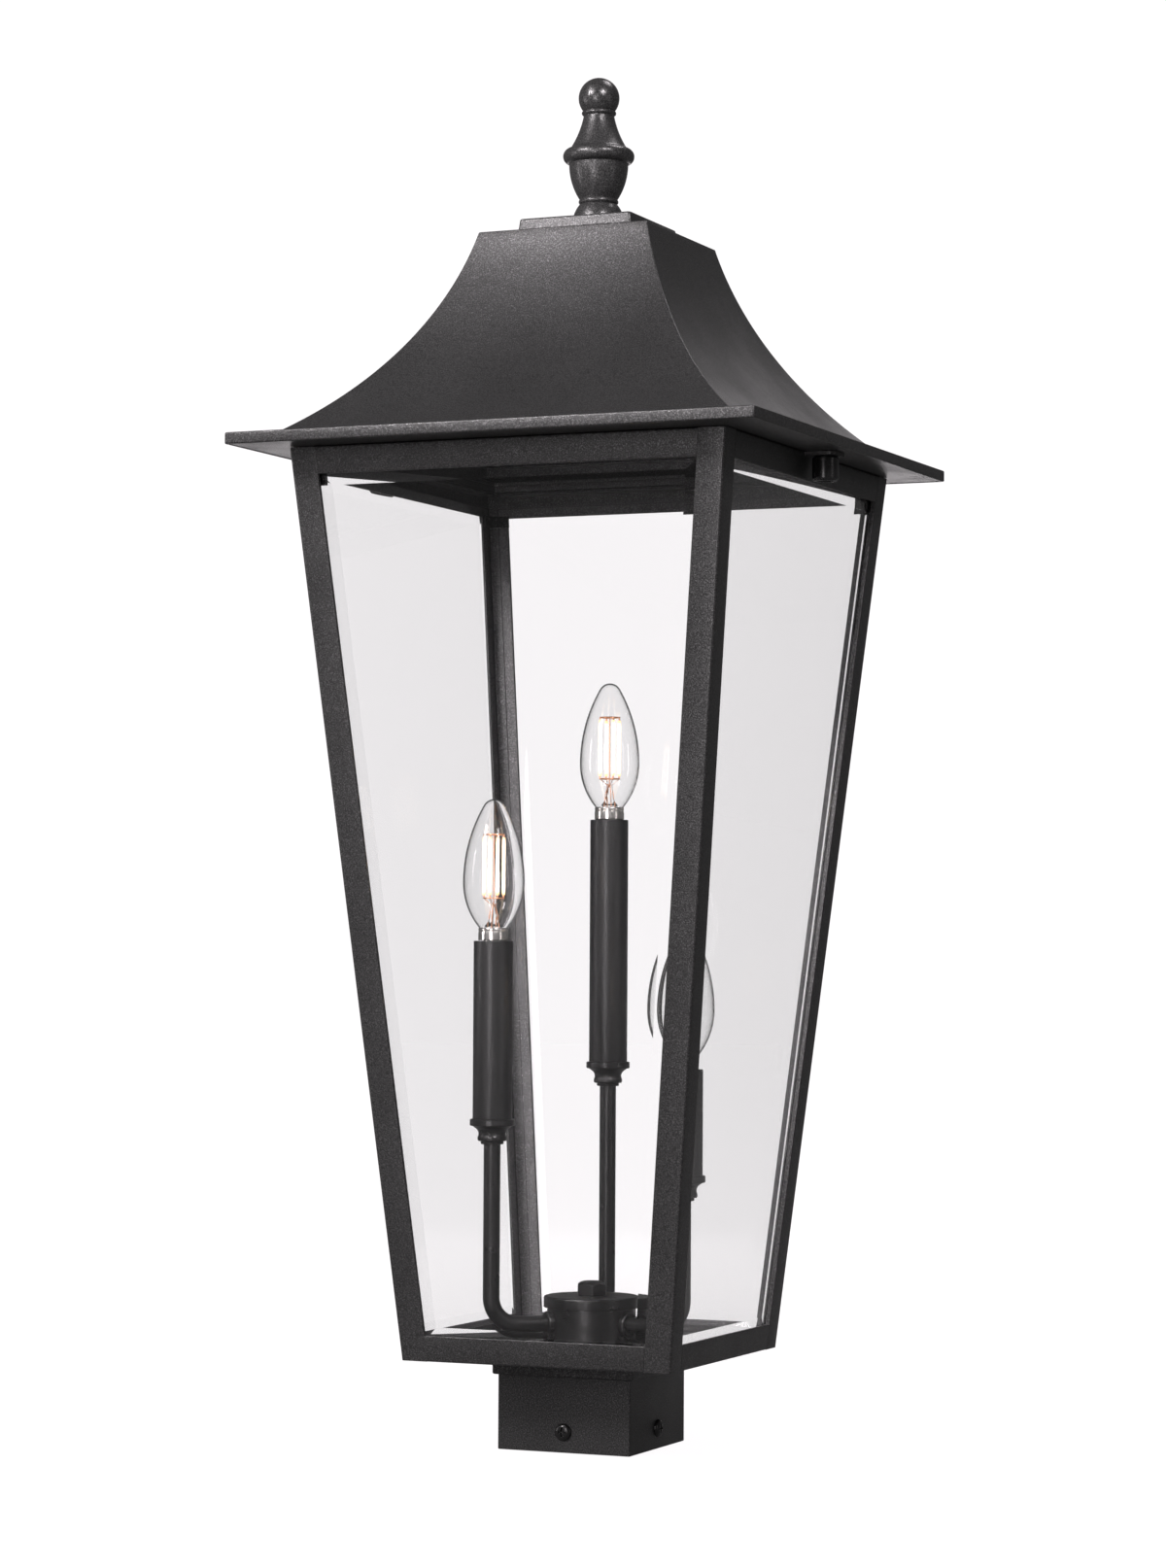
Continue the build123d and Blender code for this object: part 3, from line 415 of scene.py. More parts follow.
# %% Corner posts
def post_outline(z):
    """The L at height z: two legs as wide as the post's face, one sheet thick, with a rounded fold."""
    half = cage_half(z)
    edge, inner = half - post_face, half - sheet
    corners = [(half, -half), (half, -edge), (inner, -edge), (inner, -inner), (edge, -inner), (edge, -half)]
    outline = eased(corners, [1.6 * mm, 0.5 * mm, 0.3 * mm, 1.0 * mm, 0.3 * mm, 0.5 * mm])
    return np.column_stack([outline, np.full(len(outline), z)])


def block_in_corner(z):
    """The small block welded into the fold, which takes a clip's screw."""
    half_height, leg = 3.5 * mm, 6.5 * mm
    points = []
    for level in (z - half_height, z + half_height):
        inner = cage_half(level) - sheet
        points += [(inner, -inner, level), (inner - leg, -inner, level), (inner, leg - inner, level)]
    return np.array(points), [[0, 1, 2], [5, 4, 3], [0, 3, 4, 1], [1, 4, 5, 2], [2, 5, 3, 0]]


clip_low, clip_high = box_sizes("glass_clips")
clip_middle = (clip_low[2] + clip_high[2]) / 2
corner_turns = {"front_right": 0, "back_right": 90, "back_left": 180, "front_left": 270}
levels = np.linspace(cage_base, cage_top, 9)
for corner, turn in corner_turns.items():
    rows = np.concatenate([post_outline(z) for z in levels])
    width = len(rows) // len(levels)
    caps = [list(range(width)), list(range(len(rows) - width, len(rows)))]
    shell = spun(rows, turn), grid_faces(len(levels), width, close_rows=False) + caps
    points, faces = block_in_corner(clip_middle)
    block = spun(points, turn), faces
    post = new_piece(f"post_{corner}", f"corner_post_{corner}", powder_coat, shell, block)
    soften(post, 0.5 * mm, angle=62)
print("posts", len(corner_turns), "with", len(rows), "points along each fold")

# %% [markdown]
# The rails between the posts are angles too: a wall that lies in the cage's sloping face and a leg that
# turns inward, to carry the floor pan below and to stiffen the eave above. The section is drawn in depth
# and height, and each end is cut along the post's edge, so the rail gets wider as the cage does.


# %% Rails
def rail(section, turn):
    """Carry (depth, height) points across a cage face; each point's ends stop at the posts' inner edges."""
    section = np.asarray(section, float)
    depth, z = section[:, 0], section[:, 1]
    end = cage_half(z) - post_face
    y = -(cage_half(z) - depth)
    points = np.concatenate([np.column_stack([side * end, y, z]) for side in (-1, 1)])
    count = len(section)
    caps = [list(range(count)), list(range(count, 2 * count))]
    return spun(points, turn), grid_faces(2, count, close_rows=False) + caps


leg, leg_sheet = 12 * mm, 2 * mm
low_wall, high_wall = rail_high[2], top_rail_low[2]
low_leg = cage_base + leg_sheet
high_leg = cage_top - leg_sheet
low_section = [(0, cage_base), (0, low_wall), (sheet, low_wall), (sheet, low_leg)]
low_section += [(sheet / 2 + leg, low_leg), (sheet / 2 + leg, cage_base)]
high_section = [(0, cage_top), (0, high_wall), (sheet, high_wall), (sheet, high_leg)]
high_section += [(sheet / 2 + leg, high_leg), (sheet / 2 + leg, cage_top)]
rounding = [1.2 * mm, 0.5 * mm, 0.5 * mm, 0.3 * mm, 0.4 * mm, 0.4 * mm]
low_section, high_section = eased(low_section, rounding), eased(high_section, rounding)
face_turns = {"front": 0, "right": 90, "back": 180, "left": 270}
for side, turn in face_turns.items():
    new_piece(f"rail_low_{side}", f"bottom_rail_{side}", powder_coat, rail(low_section, turn))
    new_piece(f"rail_high_{side}", f"top_rail_{side}", powder_coat, rail(high_section, turn))
walls = [round(wall / mm, 1) for wall in (low_wall - cage_base, cage_top - high_wall)]
print("rail walls in mm, below and above:", *walls)

# %% [markdown]
# The post collar is a square tube with a wider lip under the lantern's floor. It is drawn as one closed
# section carried round a square: down the outside, round the open lower rim, up the inside and across
# under the lid. The lip's lower edge is rolled, which shows as a soft light line above the set screws.

# %% Post collar
_, collar_high = box_sizes("post_collar")
lip_half, collar_top = collar_high[0], collar_high[2]
collar_half = lip_half - 2.6 * mm
socket_half = collar_half - 2.4 * mm
lip_edge, socket_end = 42.5 * mm, collar_top - 3 * mm
section = [
    (0, collar_top),
    (lip_half, collar_top),
    (lip_half, lip_edge),
    (collar_half, lip_edge),
    (collar_half, 0),
    (socket_half, 0),
    (socket_half, socket_end),
    (0, socket_end),
]
rounding = [0, 0.5 * mm, 1.6 * mm, 0.4 * mm, 0.6 * mm, 0.4 * mm, 1 * mm, 0]
new_piece("collar", "post_collar", powder_coat, squared(eased(section, rounding, 5), 0.8 * mm))
widths = [round(2 * half / mm, 1) for half in (collar_half, socket_half)]
print("collar in mm, outside and inside:", *widths)

# %% [markdown]
# The roof's four slopes are hollow curves: one circular arc, seen from the side, that leaves the eave almost
# flat and ends steep under the cap plate. The arc is found from its two ends and its radius, and the sheet's
# inner skin is the same arc with a larger radius. Carried round a square with hardly any corner radius, it
# gives the four sharp hips.


# %% Roof
def slope_arc(base_half, top_half, base, top, radius, inset, count=40):
    """Half width of a hollow slope by height: the circle through both ends, its centre outside the roof."""
    run, rise = base_half - top_half, top - base
    chord = np.hypot(run, rise)
    reach = np.sqrt(radius**2 - chord**2 / 4)
    centre_x = (base_half + top_half) / 2 + reach * rise / chord
    centre_z = (base + top) / 2 + reach * run / chord
    start = np.arcsin(np.clip((centre_z - base) / (radius + inset), -1, 1))
    end = np.arcsin((centre_z - (top - inset)) / (radius + inset))
    angle = np.linspace(start, end, count)
    return np.stack(
        [centre_x - (radius + inset) * np.cos(angle), centre_z - (radius + inset) * np.sin(angle)], -1
    )


roof_low, roof_high = box_sizes("roof_shell")
roof_base_half, roof_top_half = roof_high[0], 52.3 * mm
slope_radius, sheet_roof = 217.5 * mm, 1.6 * mm
ends = roof_base_half, roof_top_half, roof_low[2], roof_high[2]
outer = slope_arc(*ends, slope_radius, 0)
inner = slope_arc(*ends, slope_radius, sheet_roof)
brow = eased([outer[-2], outer[-1], (roof_top_half - 4 * mm, roof_high[2])], [0, 0.7 * mm, 0])[5:10]
section = np.concatenate(
    [outer[:-1], brow, [(0, roof_high[2]), (0, roof_high[2] - sheet_roof)], inner[::-1]]
)
new_piece("roof", "roof_shell", powder_coat, squared(section, 0.7 * mm, 4), smooth=40)
print("roof", round(2 * roof_base_half / mm, 1), "to", round(2 * roof_top_half / mm, 1), "mm square")

# %% [markdown]
# Under the roof lies a flat tray with a folded rim, closed from below by a soffit, and on top sits a thick
# square plate that the finial stands on. Their rims are cut and coated, so every edge is a little round. The
# plate's sides lean in by a millimetre towards the top, and so catch the light that the slopes miss.

# %% Eave tray, soffit and cap plate
eave_low, eave_high = box_sizes("eave_tray")
soffit_low, soffit_high = box_sizes("eave_soffit")
well_half, tray_sheet, soffit_sheet = cage_half(cage_top) - leg, 2 * mm, 1.5 * mm
section = [
    (well_half, eave_high[2]),
    (eave_high[0], eave_high[2]),
    (eave_high[0], eave_low[2]),
    (eave_high[0] - tray_sheet, eave_low[2]),
    (eave_high[0] - tray_sheet, eave_high[2] - tray_sheet),
    (well_half, eave_high[2] - tray_sheet),
]
rounding = np.array([0.3, 1.0, 0.9, 0.6, 0.5, 0.3]) * mm
new_piece("eave", "eave_tray", powder_coat, squared(eased(section, rounding), 1.6 * mm))

section = [
    (well_half, soffit_low[2]),
    (soffit_high[0], soffit_low[2]),
    (soffit_high[0], soffit_low[2] + soffit_sheet),
    (well_half + soffit_sheet, soffit_low[2] + soffit_sheet),
    (well_half + soffit_sheet, soffit_high[2]),
    (well_half, soffit_high[2]),
]
rounding = np.array([0.8, 0.4, 0.4, 0.5, 0.3, 0.3]) * mm
new_piece("soffit", "eave_soffit", powder_coat, squared(eased(section, rounding), 0.6 * mm))

plate_low, plate_high = box_sizes("cap_plate")
plate_half, plate_lean = plate_high[0], 1.1 * mm
section = [
    (0, plate_high[2]),
    (plate_half - plate_lean, plate_high[2]),
    (plate_half, plate_low[2]),
    (0, plate_low[2]),
]
rounding = np.array([0, 1.1, 0.2, 0]) * mm
new_piece("crown_plate", "cap_plate", powder_coat, squared(eased(section, rounding), 1.6 * mm))
print("eave", round(2 * eave_high[0] / mm, 1), "mm square, plate", round(2 * plate_half / mm, 1))

# %% [markdown]
# The finial is one turned piece, a spun or cast baluster: a flared foot, a ring, an urn, a wide torus, a bell
# that narrows to a neck, and a ball. A turner reads it as a chain of arcs, and so does this cell: every bead
# and hollow is an arc between two named radii, stacked by height.


# %% Finial
def through(start, middle, end, count=14):
    """The circular arc through three points: its centre is as far from each of them."""
    start, middle, end = (np.array(point, float) for point in (start, middle, end))
    rows = 2 * np.array([middle - start, end - start])
    centre = np.linalg.solve(rows, np.array([middle @ middle - start @ start, end @ end - start @ start]))
    radius = np.hypot(*(start - centre))
    first, mid, last = (np.arctan2(*(point - centre)[::-1]) for point in (start, middle, end))
    sweep, part = (last - first) % (2 * np.pi), (mid - first) % (2 * np.pi)
    angle = first + np.linspace(0, sweep if part < sweep else sweep - 2 * np.pi, count)
    return centre + radius * np.column_stack([np.cos(angle), np.sin(angle)])


finial_low, finial_high = box_sizes("finial")
height = finial_high[2] - finial_low[2]
torus, ball = finial_high[0], 11.9 * mm
foot_top, ring_top, urn_top, torus_top, bell_top, bead_top = height * np.array(
    [0.132, 0.168, 0.41, 0.516, 0.74, 0.774]
)
torus_middle, bead_middle = (urn_top + torus_top) / 2, (bell_top + bead_top) / 2
neck = 9.4 * mm
ball_angle = -np.degrees(np.arccos(neck / ball))
turns = [
    [(0, 0), (14.8 * mm, 0)],
    through((15.0 * mm, 0.2 * mm), (13.9 * mm, foot_top * 0.6), (11.2 * mm, foot_top)),
    through((10.6 * mm, foot_top + 0.4 * mm), (11.6 * mm, foot_top + 1.8 * mm), (11.0 * mm, ring_top), 8),
    through((11.1 * mm, ring_top + 0.3 * mm), (16.0 * mm, ring_top + 11.4 * mm), (17.2 * mm, urn_top), 20),
    through((17.4 * mm, urn_top + 0.2 * mm), (torus, torus_middle), (17.0 * mm, torus_top), 20),
    through((16.5 * mm, torus_top + 0.2 * mm), (12.5 * mm, torus_top + 7.7 * mm), (8.9 * mm, bell_top), 20),
    through((9.0 * mm, bell_top + 0.2 * mm), (10.05 * mm, bead_middle), (9.1 * mm, bead_top), 8),
    arc((0, height - ball), ball, ball_angle, 90, 32),
]
section = np.concatenate([np.asarray(part, float) for part in turns])
new_piece("finial_turned", "finial", finial_coat, turned(section, (0, 0, finial_low[2]), 128), smooth=42)
print("finial", round(height / mm, 1), "mm high,", len(section), "points in its section")

# %% [markdown]
# The hub of the lamp cluster ends in a domed hexagon nut. The nut is a turned dome cut by six flats, so its
# radius at any angle is the smaller of the dome's and the hexagon's, and that one rule gives the curved edges
# where a flat meets the dome. The dome itself is a shallow bow between two points.


# %% Bows and hexagons
def bulge(start, end, depth, count=10):
    """A curve from start to end that bows sideways by depth, to the left of its direction: a parabola."""
    start, end = np.array(start, float), np.array(end, float)
    step = np.linspace(0, 1, count)[:, None]
    along = end - start
    side = np.array([-along[1], along[0]]) / max(np.hypot(*along), 1e-9)
    return start + along * step + side * depth * 4 * step * (1 - step)


def hexagon_turned(section, flats, centre, turn=2.6, segments=192):
    """Turn a section, but let no point reach beyond a hexagon this wide across its flats, at this turn."""
    section = np.asarray(section, float)
    angle = np.linspace(0, 2 * np.pi, segments, endpoint=False)
    limit = flats / 2 / np.cos((angle + np.radians(turn)) % (np.pi / 3) - np.pi / 6)
    radius = np.minimum(section[:, 0, None], limit)
    x, y = centre[0] + radius * np.cos(angle), centre[1] + radius * np.sin(angle)
    z = centre[2] + section[:, 1, None] + 0 * angle
    return np.stack([x, y, z], -1).reshape(-1, 3), grid_faces(len(section), segments)


print("a hexagon's width over its corners:", round(2 / math.sqrt(3), 3), "times its flats")

# %% [markdown]
# The lamp cluster grows from the hub on the floor pan: a pressed cup and a flat lid with a soft rim, both of
# thin sheet and so drawn with their wall, and the nut on top. The nipple's hole passes through cup and lid.

# %% Hub
cup_low, cup_high = box_sizes("hub_cup")
lid_low, lid_high = box_sizes("hub_lid")
nut_low, nut_high = box_sizes("hub_nut")
hub_half, wall, nipple_hole = cup_high[0], 1.8 * mm, 5.1 * mm
section = [
    (nipple_hole, cup_low[2]),
    (hub_half, cup_low[2]),
    (hub_half, cup_high[2]),
    (hub_half - wall, cup_high[2]),
    (hub_half - wall, cup_low[2] + wall),
    (nipple_hole, cup_low[2] + wall),
]
new_piece("hub_drum", "hub_cup", arm_black, turned(eased(section, 0.6 * mm), (0, 0, 0), 128))
lid_inside = hub_half + 0.3 * mm
section = [
    (nipple_hole, lid_high[2] - wall),
    (nipple_hole, lid_high[2]),
    (lid_high[0], lid_high[2]),
    (lid_high[0], lid_low[2]),
    (lid_inside, lid_low[2]),
    (lid_inside, lid_high[2] - wall),
]
rounding = np.array([0, 0, 1.6, 0.5, 0.3, 0.3]) * mm
new_piece("hub_top", "hub_lid", arm_black, turned(eased(section, rounding, 6), (0, 0, 0), 128))
nut_tall, flats = nut_high[2] - nut_low[2], 15.5 * mm
corner = flats / np.sqrt(3)
section = np.concatenate(
    [
        [(0, 0), (corner * 0.92, 0), (corner, 0.35 * mm)],
        np.column_stack([np.full(8, corner), np.linspace(0.08, 0.6, 8) * nut_tall]),
        bulge((corner, nut_tall * 0.62), (corner * 0.42, nut_tall), -0.9 * mm, 14),
        [(0, nut_tall)],
    ]
)
new_piece("hub_hexagon", "hub_nut", arm_black, hexagon_turned(section, flats, (0, 0, nut_low[2])), smooth=24)
print("hub", round(2 * hub_half / mm, 1), "mm across, nut", round(nut_tall / mm, 1), "high")

# %% [markdown]
# Each arm is a steel tube bent once: it leaves the hub level, turns upward on a 16 mm radius and runs up into
# its candle. A ring of points is carried along that path, each ring square to it, and the ring where the tube
# enters the hub gets a small pressed ferrule.

# %% Arms and ferrules
candle_turns = {"tall": 105, "middle": 225, "short": 345}
arm_start, arm_reach, arm_bend, tube = 17 * mm, 61.5 * mm, 16 * mm, 4.8 * mm


def bent_tube(start, reach, level, top, bend, radius, turn, segments=40):
    """A tube whose middle line runs outward at one level, turns up on an arc and rises to top."""
    swing = np.radians(np.linspace(0, 90, 20))
    out = np.concatenate([[start], reach - bend + bend * np.sin(swing), [reach]])
    up = np.concatenate([[level], level + bend - bend * np.cos(swing), [top]])
    lean = np.concatenate([[0], swing, [np.pi / 2]])
    angle = np.linspace(0, 2 * np.pi, segments, endpoint=False)
    across, lift = radius * np.cos(angle), radius * np.sin(angle)
    x = out[:, None] - np.sin(lean)[:, None] * lift
    y = np.broadcast_to(across, x.shape)
    z = up[:, None] + np.cos(lean)[:, None] * lift
    count = len(out)
    caps = [list(range(segments)), list(range((count - 1) * segments, count * segments))]
    points = np.stack([x, y, z], -1).reshape(-1, 3)
    return spun(points, turn), grid_faces(count, segments, close_rows=False) + caps


near, far, hole, rim = 24.9 * mm, 28.5 * mm, 4.85 * mm, 7.05 * mm
ring = eased([(near, hole), (near, rim), (far, rim), (far, hole)], [0, 0, 1.1 * mm, 0.4 * mm], 5)
round_points, faces = turned(ring[:, ::-1], (0, 0, 0), 64)
ferrules = []
for name, turn in candle_turns.items():
    arm_low, arm_high = box_sizes(f"arm_{name}")
    level = arm_low[2] + tube
    shell = bent_tube(arm_start, arm_reach, level, arm_high[2], arm_bend, tube, turn)
    new_piece(f"bent_arm_{name}", f"arm_{name}", arm_black, shell)
    along = np.column_stack([round_points[:, 2], round_points[:, 1], round_points[:, 0] + level])
    ferrules.append((spun(along, turn), faces))
new_piece("arm_rings", "arm_ferrules", arm_black, *ferrules)
print("arms at", list(candle_turns.values()), "degrees")

# %% [markdown]
# A candle is a stack of turned pieces on the arm: a rounded washer, a cup that flares from a narrow waist to
# a thick rim, and a plain sleeve. The sleeve is thin tube, so its upper edge is drawn open, with the wall's
# thickness and a tiny round on it, and the lamp's nickel cap shows inside.


# %% Candle cups and sleeves
def candle_axis(name):
    """The candle's place on its circle round the lantern's axis."""
    angle = np.radians(candle_turns[name])
    return arm_reach * np.cos(angle), arm_reach * np.sin(angle)


hole, cup_foot, rim, waist = 4.86 * mm, -12.4 * mm, 12.8 * mm, 7.9 * mm
plug, plug_top = 10.15 * mm, 3 * mm
cup = np.concatenate(
    [
        [(hole, cup_foot), (waist, cup_foot), (8.35 * mm, -11.9 * mm), (8.4 * mm, -10.6 * mm)],
        through((8.2 * mm, -9.9 * mm), (waist, -7.8 * mm), (9.6 * mm, -5.2 * mm), 14),
        [(11.2 * mm, -4.0 * mm), (12.5 * mm, -3.75 * mm), (rim, -3.4 * mm), (rim, -0.4 * mm)],
        [(12.4 * mm, 0), (plug, 0), (plug, plug_top), (hole, plug_top)],
    ]
)
washer_foot, washer_rim = -14.3 * mm, 6.6 * mm
ring = [(hole, washer_foot), (washer_rim, washer_foot), (washer_rim, cup_foot), (hole, cup_foot)]
ring = eased(ring, [0, 0.9 * mm, 0.9 * mm, 0], 5)
inner, outer = 10.25 * mm, 11.25 * mm
rounding = np.array([0.2, 0.3, 0.5, 0.4]) * mm
washers = []
for name in candle_turns:
    x, y = candle_axis(name)
    sleeve_low, sleeve_high = box_sizes(f"candle_sleeve_{name}")
    seat, tall = sleeve_low[2], sleeve_high[2] - sleeve_low[2]
    new_piece(f"cup_{name}", f"candle_cup_{name}", arm_black, turned(cup, (x, y, seat), 96))
    section = eased([(inner, 0), (outer, 0), (outer, tall), (inner, tall)], rounding)
    shell = turned(section, (x, y, seat), 96)
    new_piece(f"sleeve_{name}", f"candle_sleeve_{name}", satin_black, shell)
    washers.append(turned(ring, (x, y, seat), 64))
    print(name, "candle", round(tall / mm, 1), "mm long from", round(seat / mm, 1))
new_piece("cup_rings", "cup_washers", arm_black, *washers)

# %% [markdown]
# The lamp's envelope is a blown candle shape: a small arc at the foot, a long one up the side and a tight one
# at the tip, each running smoothly into the next. It has two skins 0.7 mm apart, joined round the foot, so
# the glass shader bends light in and out of a real wall and the rim looks darker, as blown glass does.


# %% Lamp envelopes
def envelope(skin):
    """The outer outline moved inward by skin: three arcs that share tangents, from foot to tip."""
    radius, belly = 17.6 * mm, 25.9 * mm
    foot, side, tip = 40.7 * mm, 89.5 * mm, 6.8 * mm
    rise = np.sqrt((side - tip) ** 2 - (radius - side) ** 2)
    turn = np.degrees(np.arcsin(rise / (side - tip)))
    low = np.degrees(np.arcsin(belly / (foot - skin)))
    lower = arc((radius - foot, belly), foot - skin, -low, 0, 28)
    upper = arc((radius - side, belly), side - skin, 0, turn, 36)
    top = arc((0, belly + rise), tip - skin, turn, 90, 20)
    return np.concatenate([lower[:-1], upper[:-1], top])


section = np.concatenate([envelope(0), envelope(0.7 * mm)[::-1]])
for name in candle_turns:
    x, y = candle_axis(name)
    glass_low, glass_high = box_sizes(f"bulb_glass_{name}")
    shell = turned(section, (x, y, glass_low[2]), 128)
    piece = new_piece(f"envelope_{name}", f"bulb_glass_{name}", lamp_glass, shell, smooth=60)
    piece.visible_shadow = False
print("envelope", round((glass_high[2] - glass_low[2]) / mm, 1), "mm high")

# %% [markdown]
# The lamp's cap is rolled nickel: a plain collar with a crimped bead that grips the glass, and under it the
# screw shell. The thread is one formula: the shell's radius swells and shrinks with height, and the swelling
# moves up by one pitch per turn, which is what a helix is. It only shows when a lamp is lifted out.


# %% Lamp caps
def threaded(radius, depth, pitch, low, high, centre, segments=96, per_turn=10):
    """A shell whose radius follows a cosine of height over pitch minus angle, fading out at both ends."""
    rows = int(round((high - low) / pitch * per_turn)) + 1
    z = np.linspace(low, high, rows)[:, None]
    angle = np.linspace(0, 2 * np.pi, segments, endpoint=False)[None, :]
    fade = np.clip(np.minimum(z - low, high - z) / pitch, 0, 1)
    swell = depth / 2 * (np.cos(2 * np.pi * z / pitch - angle) - 1) * fade
    wide = radius + swell
    points = np.stack([centre[0] + wide * np.cos(angle), centre[1] + wide * np.sin(angle)], -1)
    points = np.concatenate([points, np.broadcast_to(centre[2] + z, wide.shape)[..., None]], -1)
    caps = [list(range(segments)), list(range((rows - 1) * segments, rows * segments))]
    return points.reshape(-1, 3), grid_faces(rows, segments, close_rows=False) + caps


cap_tall = 7.2 * mm
cap = np.concatenate(
    [
        [(0, 0), (8.4 * mm, 0), (8.7 * mm, 0.3 * mm), (8.7 * mm, 4.6 * mm)],
        bulge((8.65 * mm, 4.8 * mm), (8.6 * mm, 5.6 * mm), 0.35 * mm, 8),
        bulge((8.6 * mm, 5.7 * mm), (8.25 * mm, cap_tall), -0.22 * mm, 8),
        [(0, cap_tall)],
    ]
)
tip = [(0, -20 * mm), (1.5 * mm, -20 * mm), (2.4 * mm, -19 * mm), (2.6 * mm, -17.9 * mm)]
tip += [(4.6 * mm, -17.2 * mm), (5.2 * mm, -16.4 * mm), (0, -16.4 * mm)]
for name in candle_turns:
    x, y = candle_axis(name)
    _, base_high = box_sizes(f"bulb_base_{name}")
    seat = (x, y, base_high[2] - cap_tall)
    thread = threaded(5.95 * mm, 0.7 * mm, 3.1 * mm, -16.5 * mm, 0.1 * mm, seat)
    shells = turned(cap, seat, 96), thread, turned(tip, seat, 64)
    new_piece(f"lamp_cap_{name}", f"bulb_base_{name}", nickel, *shells)
print("cap seat at", round(seat[2] / mm, 1), "mm")

# %% [markdown]
# Inside the envelope a flared glass stem carries copper wires up to a wire ring, four pale sticks stand
# between that ring and an upper one, and each stick ends in small orange tips. The sticks glow, so their
# finish gives light: white in the middle, amber toward the tips, by height above the lower ring.

# %% Filament finish
stick_glow, glow_shader = new_finish(
    "filament_stick", Base_Color=(0.9, 0.62, 0.3, 1), Roughness=0.5, Emission_Strength=2.2
)
height_map = add_node(stick_glow, "UVMap")
split = add_node(stick_glow, "SeparateXYZ", Vector=height_map.outputs["UV"])
amber = (0.40, 0.24, 0.10)
white = (1.0, 0.90, 0.78)
glow = ramp(stick_glow, split.outputs["Y"], (0.03, amber), (0.11, white), (0.89, white), (0.97, amber))
stick_glow.node_tree.links.new(glow, glow_shader.inputs["Emission Color"])
stem_glass, _ = new_finish(
    "stem_glass", Base_Color=(0.99, 0.99, 0.99, 1), Roughness=0.0, IOR=1.2, Transmission_Weight=1.0
)
print("filament glow", round(glow_shader.inputs["Emission Strength"].default_value, 2))

# %% [markdown]
# A wire is a thin ring of points carried along a path. The rings round the sticks are closed paths, and the
# lead wires are open ones that spread from the stem.


# %% Wires
def wire(path, radius, closed=False, segments=10):
    """A tube along a path: at each point a circle square to the path, turned as little as possible."""
    path = np.asarray(path, float)
    if closed:
        tangent = np.roll(path, -1, 0) - np.roll(path, 1, 0)
    else:
        tangent = np.gradient(path, axis=0)
    tangent /= np.linalg.norm(tangent, axis=1)[:, None]
    helper = np.where(np.abs(tangent[:, 2:]) > 0.8, [[1.0, 0, 0]], [[0, 0, 1.0]])
    across = np.cross(helper, tangent)
    across /= np.linalg.norm(across, axis=1)[:, None]
    over = np.cross(tangent, across)
    angle = np.linspace(0, 2 * np.pi, segments, endpoint=False)[None, :, None]
    points = path[:, None] + radius * (np.cos(angle) * across[:, None] + np.sin(angle) * over[:, None])
    faces = grid_faces(len(path), segments, close_rows=closed)
    if not closed:
        faces += [list(range(segments)), list(range((len(path) - 1) * segments, len(path) * segments))]
    return points.reshape(-1, 3), faces


def circle(radius, z, count=40):
    """A level circle of points round the origin."""
    angle = np.linspace(0, 2 * np.pi, count, endpoint=False)
    return np.column_stack([radius * np.cos(angle), radius * np.sin(angle), np.full(count, z)])


print("points of a closed wire:", len(wire(circle(1, 0), 0.1, closed=True)[0]))

# %% [markdown]
# All three lamps hold the same set, each turned its own way about its candle. The flared stem is a turned
# glass shape. Each stick gets a height coordinate from 0 to 1 in its UV map, so the glow follows the stick
# wherever it stands.

# %% Stem, wires and sticks
ring_radius, low_ring, high_ring = 6.0 * mm, 16.9 * mm, 53.2 * mm
start, end = low_ring + 1.6 * mm, high_ring - 1.6 * mm
orange_tip = np.array([0, 0, 2.2 * mm])
stick_turns = {"short": 30.0, "tall": 43.0, "middle": 3.5}
flare = [(0, 0.1 * mm), (5.4 * mm, 0.1 * mm), (5.2 * mm, 0.9 * mm)]
flare += bulge((4.9 * mm, 1.4 * mm), (1.9 * mm, 9.5 * mm), 1.0 * mm, 12).tolist()
flare += [(1.5 * mm, 14.5 * mm), (1.2 * mm, 15.4 * mm), (0, 15.6 * mm)]
stick = [(0, start), (0.85 * mm, start + 0.25 * mm), (0.95 * mm, start + 1.2 * mm)]
stick += [(0.95 * mm, end - 1.2 * mm), (0.85 * mm, end - 0.25 * mm), (0, end)]
